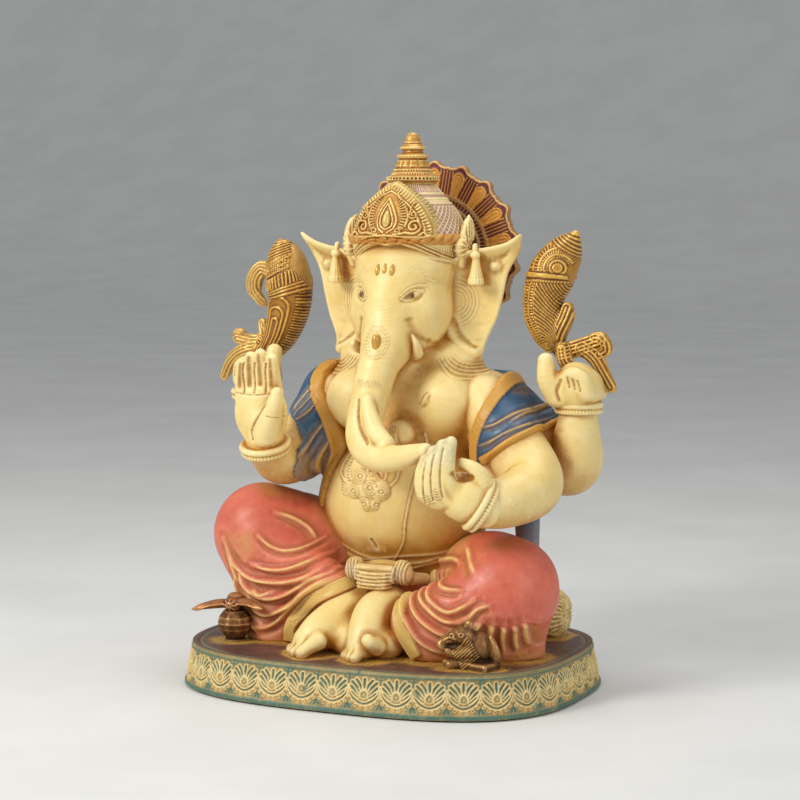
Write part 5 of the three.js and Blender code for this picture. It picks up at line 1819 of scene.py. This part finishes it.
# In these paints the wash layer is antique wash with painted shade, the hollow layer painted shade in grooves, the
# rub layer worn edges with painted highlight, and the ochre layer mostly painted shade; deep on the golds is painted
# shade in recesses.
PAINTS = {
    "skin": enamel("skin_enamel", CREAM, CREAM_LOW, [
        ("ochre_and_shade", "C4902C", 0.95, 50, 0.25, 0.1), ("wash_and_shade", "C6892C", 1.1, 48, 0.4, 0.08),
        ("wash_and_shade", "A86E1C", 0.45, 110, 0.8, 0.1),
        ("line", "C8963E", 0.5, 260, 0.5, 0),
        ("hollow", "A8742C", 0.7, 160, 0.5, 0.1), ("tint", "B9A0A0", 0.75, 120, 0.4, 0),
        ("ink", "7A5320", 0.85, 200, 0.3, 0),
        ("deep", BROWN, 0.9, 0, 0, 0), ("rub_and_highlight", "FBF0C0", 0.35, 180, 0.6, -0.05)], rough=0.42),
    "hand": enamel("hand_enamel", CREAM, CREAM_LOW, [
        ("wash_and_shade", "C6892C", 1.05, 48, 0.4, 0.08), ("ochre_and_shade", "B8802E", 0.9, 90, 0.5, 0.1),
        ("line", "C8963E", 0.5, 260, 0.5, 0),
        ("hollow", "B07A2C", 0.8, 160, 0.5, 0.1), ("tint", "8E9A96", 0.85, 120, 0.5, 0),
        ("ink", "A8762C", 0.85, 90, 0.5, 0), ("rub_and_highlight", "FBF0C0", 0.3, 180, 0.6, -0.05)], rough=0.42),
    "eye": enamel("eye_enamel", "EBD79A", "DCC07A",
                  [("ink", "6A4A20", 1.0, 0, 0, 0), ("deep", "2A1A0C", 1.0, 0, 0, 0),
                                                     ("wash_and_shade", OCHRE, 0.5, 0, 0, 0)], rough=0.3),
    "dhoti": enamel("dhoti_enamel", "DA6C52", "C45643", [
        ("wash_and_shade", "B4783A", 0.75, 60, 0.6, 0.1), ("ochre_and_shade", "C99A50", 0.75, 46, 0.75, 0.1),
        ("hollow", "A55A3A", 0.6, 130, 0.6, 0.1),
        ("rub_and_highlight", "EE9C80", 0.35, 150, 0.7, -0.05), ("trim", "E3BE6A", 1.2, 0, 0, 0.05), ("line", BROWN, 1.0, 0, 0, 0),
        ("gilt", "F0CE7E", 1.0, 150, 0.25, 0)], rough=0.42),
    "shawl": enamel("shawl_enamel", "2A5576", "1F4262", [
        ("wash_and_shade", "4A4638", 0.5, 70, 0.5, 0.1), ("ochre_and_shade", "C0924A", 0.95, 60, 0.5, 0.1),
        ("hollow", "1F3A5A", 0.5, 130, 0.5, 0),
        ("rub_and_highlight", "6E93B4", 0.3, 150, 0.7, -0.05), ("trim", "D6A046", 1.5, 90, 0.12, 0.05),
        ("line", BROWN, 0.9, 0, 0, 0),
        ("gilt", "D9A84E", 1.3, 150, 0.3, 0)], rough=0.4),
    "gold": enamel("old_gold", "CC8E30", "AE7224", [
        ("wash_and_shade", "8A5620", 0.8, 80, 0.5, 0.1), ("hollow", "6B3F16", 0.95, 120, 0.4, 0.1),
        ("deep", UMBER, 0.8, 0, 0, 0.1),
        ("pale", "E3C078", 0.5, 90, 0.5, 0), ("rub_and_highlight", "F0C564", 0.65, 200, 0.4, -0.08)], rough=0.36, metal=0.3,
            mottle=40),
    "crown_gold": enamel("crown_gold", "D6A44C", "BC8432", [
        ("wash_and_shade", "A0682A", 0.6, 80, 0.5, 0.1), ("hollow", "9A5E20", 0.95, 120, 0.4, 0.1),
        ("deep", UMBER, 0.85, 0, 0, 0.1),
        ("rub_and_highlight", "F3D88C", 0.8, 200, 0.5, -0.08)], rough=0.36, metal=0.25, mottle=40),
    "band": enamel("band_enamel", "EFD78C", "E0BD68", [
        ("wash_and_shade", "C08A3C", 0.8, 60, 0.5, 0.1), ("hollow", "B07A30", 0.9, 140, 0.4, 0.1),
        ("rub_and_highlight", "F8E7AE", 0.6, 180, 0.5, -0.05),
        ("gilt", "C98630", 0.85, 120, 0.3, 0)], rough=0.4),
    "mauve": enamel("mauve_enamel", "C79AA4", "B4808E", [
        ("hollow", "A87886", 0.5, 130, 0.5, 0), ("wash_and_shade", "C09A60", 0.5, 60, 0.5, 0.1),
        ("trim", "F0D99A", 0.95, 200, 0.2, 0)], rough=0.42),
    "maroon": enamel("maroon_enamel", "84323A", "6C262C", [
        ("tint", "8E5A58", 0.7, 80, 0.5, 0), ("hollow", "5A1C22", 0.6, 130, 0.5, 0),
        ("gilt", "E0A244", 1.0, 140, 0.3, -0.03),
        ("trim", "E9C786", 0.85, 160, 0.3, 0), ("wash_and_shade", "7A4A28", 0.3, 80, 0.5, 0.1)], rough=0.4, metal=0.1),
    "trim": enamel("trim_enamel", "EBD08A", "D9B462", [
        ("ochre_and_shade", "B9822E", 0.9, 60, 0.4, 0.1), ("wash_and_shade", "BC8636", 0.9, 60, 0.5, 0.1),
        ("hollow", "9A6A2A", 0.85, 140, 0.5, 0.1), ("tint", "A89A94", 0.85, 120, 0.4, 0),
        ("rub_and_highlight", "F6E4AC", 0.5, 180, 0.6, -0.05)], rough=0.46),
    "bronze": enamel("dark_bronze", "8E5F34", "6A4020", [
        ("wash_and_shade", "3C2412", 0.8, 80, 0.5, 0.1), ("hollow", "2E1A0C", 0.9, 120, 0.4, 0.1),
        ("gilt", "C9964A", 0.8, 160, 0.3, -0.05),
        ("rub_and_highlight", "CFA060", 0.6, 200, 0.5, -0.08)], rough=0.36, metal=0.45, mottle=50),
    "copper": enamel("copper_leaf", "A8683C", "8A4E2A", [
        ("wash_and_shade", "5A3218", 0.7, 80, 0.5, 0.1), ("hollow", "4A2812", 0.9, 120, 0.4, 0.1),
        ("rub_and_highlight", "D9A066", 0.6, 200, 0.5, -0.08)],
        rough=0.36, metal=0.35, mottle=50),
    "plinth": enamel("plinth_enamel", "E0C078", "C99E50", [
        ("hollow", "B98A44", 0.55, 110, 0.6, 0.1), ("teal", "4A6C5C", 1.1, 75, 0.3, 0.0),
        ("mixed", "587A6A", 0.8, 60, 0.6, 0), ("pale", "EDD292", 0.85, 90, 0.3, 0),
            ("plum", "6B5248", 1.0, 50, 0.2, 0),
        ("wash_and_shade", "A8803C", 0.35, 60, 0.6, 0.1)], rough=0.5, grain=0.4, mottle=30),
    "ground": enamel("ground_enamel", "6E4A40", "573A34", [
        ("wash_and_shade", "C79A48", 1.9, 40, 0.7, 0.08), ("green", "66705A", 1.0, 40, 0.5, 0),
        ("hollow", "4A3230", 0.5, 100, 0.5, 0)],
        rough=0.42, grain=0.4, mottle=26),
    "felt": enamel("green_felt", "3E4A3C", "2E382E", [], rough=0.95, grain=1.0, grain_scale=2600, mottle=60),
}

# piece -> (paint, slot, CAD nodes it stands for). Most pieces are named after the one node they stand for.
CAST = {}
for paint, slot_name, nodes in (
    ("skin", "skin_cream", "torso foot_right foot_left belly_pendant ear_right ear_left ear_tassel_right "
                           "ear_tassel_left rear_right_bracelet rear_left_bracelet front_right_bracelet "
                           "front_left_bracelet"),
    ("hand", "skin_cream", "front_hand_right front_hand_left rear_hand_right rear_hand_left"),
    ("dhoti", "dhoti_pink", "leg_right leg_left hips"),
    ("trim", "trim_cream", "hem_right hem_left waist_sash bolster"),
    ("mauve", "mauve", "crown_dome"),
    ("crown_gold", "gold", "crown_finial crown_front"),
    ("band", "trim_cream", "crown_band"),
    ("band", "gold", "crown_rosette_right crown_rosette_left"),
    ("maroon", "maroon", "crown_fan"),
    ("gold", "gold", "conch_right conch_left"),
    ("bronze", "bronze", "offering_pot mouse"),
    ("copper", "bronze", "pot_leaves"),
    ("plinth", "teal", "plinth_band"),
    ("ground", "plum_brown", "plinth_top"),
):
    for node in nodes.split():
        CAST[f"{node}_sculpt"] = (paint, slot_name, [node])
CAST["head_and_trunk"] = ("skin", "skin_cream", ["head", "trunk_upper", "trunk_tip"])
CAST["shawl_sculpt"] = ("shawl", "shawl_blue", ["shawl_right", "shawl_left", "shawl_back"])
CAST["tilak_relief"] = ("gold", "gold", ["tilak"])
CAST["trunk_jewel_relief"] = ("gold", "gold", ["trunk_jewel"])
for word, _ in SIDES:
    CAST[f"eye_{word}"] = ("eye", "skin_cream", [])
    CAST[f"tusk_{word}_stub"] = ("skin", "skin_cream", [f"tusk_{word}"])
for name in ARM_LINES:
    CAST[f"{name}_arm"] = ("skin", "skin_cream", [f"{name}_upper_arm", f"{name}_forearm"])

for piece in made:
    shade(piece)
    obj = to_mesh(piece)
    paint, slot_name, stands_for = CAST[piece.name]
    obj.data.materials.append(PAINTS[paint])
    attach(obj, "root")
    if stands_for:
        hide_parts(*stands_for)
    print("piece", piece.name, len(piece.p), "points", 2 * len(piece.faces), "triangles")

# ---------------------------------------------------------------- felt under the plinth
felt_lo, felt_hi = (np.array(corner) * 1000 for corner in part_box("base_felt"))
felt_size = felt_hi - felt_lo
FELT_COLUMNS, FELT_LEVELS, FELT_SLACK = 360, 6, 0.4  # the slack keeps the fuzz inside the CAD sheet's size
felt_wide, felt_deep = felt_size[0] - FELT_SLACK, felt_size[1] - FELT_SLACK
fx_, fy_, *_ = plinth_outline(FELT_COLUMNS, felt_wide, felt_deep)
fuzz = 0.12 * np.random.default_rng(31).normal(size=(FELT_COLUMNS, 1))
shares = np.array([0, 0.5, 1, 1, 0.5, 0])
levels = np.array([0, 0, 0, 1, 1, 1]) * (felt_size[2] - 0.1) + felt_lo[2] + 0.05
wobble = np.array([0, 0, 1, 1, 0, 0]) * fuzz
felt_points = np.stack([fx_[:, None] * shares + wobble * 0.5, fy_[:, None] * shares + wobble * 0.5,
                        np.broadcast_to(levels, (FELT_COLUMNS, FELT_LEVELS))], -1)
felt = Piece("base_felt_sheet", felt_points.reshape(-1, 3), grid_faces(FELT_COLUMNS, FELT_LEVELS, True))
felt_obj = to_mesh(felt)
felt_obj.data.materials.append(PAINTS["felt"])
felt_area = 0.5 * abs(float(np.sum(fx_ * np.roll(fy_, -1) - fy_ * np.roll(fx_, -1)))) / 1e6
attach(felt_obj, "root")
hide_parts("base_felt")

# ---------------------------------------------------------------- stage, light, camera
floor_mesh = bpy.data.meshes.new("floor")
FLOOR_REACH, COVE_START, COVE_RADIUS, COVE_STEPS = 18.0, 8.0, 6.0, 17  # metres; behind every camera
cove = [(-FLOOR_REACH, 0.0)]
cove += [(COVE_START + COVE_RADIUS * math.sin(t), COVE_RADIUS - COVE_RADIUS * math.cos(t))
         for t in np.linspace(0, math.pi / 2, COVE_STEPS)]
cove += [(COVE_START + COVE_RADIUS, 20.0)]
verts = [(x, y, z) for y, z in cove for x in (-FLOOR_REACH, FLOOR_REACH)]
floor_mesh.from_pydata(verts, [], [(2 * k, 2 * k + 1, 2 * k + 3, 2 * k + 2) for k in range(len(cove) - 1)])
for poly in floor_mesh.polygons:
    poly.use_smooth = True
floor = bpy.data.objects.new("floor", floor_mesh)
bpy.context.scene.collection.objects.link(floor)
m = Nodes("pale_floor")
m.put(m.mix(m.stretch(m.noise(3, 3), 0.4, 0.6), (0.70, 0.70, 0.68), (0.74, 0.74, 0.72)),
      m.shader.inputs["Base Color"])
m.put(m.stretch(m.noise(8, 3), 0.3, 0.7, 0.75, 0.9), m.shader.inputs["Roughness"])
floor_mesh.materials.append(m.material)

world = bpy.data.worlds.new("studio")
bpy.context.scene.world = world
world.use_nodes = True
world.node_tree.nodes["Background"].inputs[0].default_value = (0.95, 0.97, 1.0, 1)
world.node_tree.nodes["Background"].inputs[1].default_value = 0.45


def lamp(name, place, aim, size, power, colour=(1, 1, 1)):
    data = bpy.data.lights.new(name, "AREA")
    data.shape, data.size, data.size_y = "RECTANGLE", size[0], size[1]
    data.energy, data.color = power, colour
    obj = bpy.data.objects.new(name, data)
    obj.location = place
    obj.rotation_euler = (Vector(aim) - Vector(place)).to_track_quat("-Z", "Y").to_euler()
    bpy.context.scene.collection.objects.link(obj)


lamp("key", (-1.3, -2.2, 1.9), (0, 0, 0.34), (1.0, 1.0), 57, (1.0, 0.98, 0.93))
lamp("fill", (2.6, -1.2, 1.1), (0, 0, 0.34), (1.4, 1.4), 17, (1.0, 0.99, 0.97))
lamp("top", (0.1, 0.3, 2.4), (0, 0, 0.3), (1.2, 1.2), 18)

camera_data = bpy.data.cameras.new("camera")
camera = bpy.data.objects.new("camera", camera_data)
bpy.context.scene.collection.objects.link(camera)
bpy.context.scene.camera = camera
PICTURE_PIXELS, FOCAL_PIXELS = 800, 2313.75  # fitted to the plinth's outline and the idol's height
azimuth, tilt = math.radians(24.85), math.radians(5.43)
camera.location = (1.261, -2.722, 0.657)
aim = Vector((-math.sin(azimuth) * math.cos(tilt), math.cos(azimuth) * math.cos(tilt), -math.sin(tilt)))
camera.rotation_euler = aim.to_track_quat("-Z", "Y").to_euler()
camera_data.sensor_width = 36
camera_data.lens = FOCAL_PIXELS / PICTURE_PIXELS * 36
camera_data.shift_x = 7.15 / PICTURE_PIXELS
camera_data.clip_end = 40
bpy.context.scene.view_settings.view_transform = "Standard"
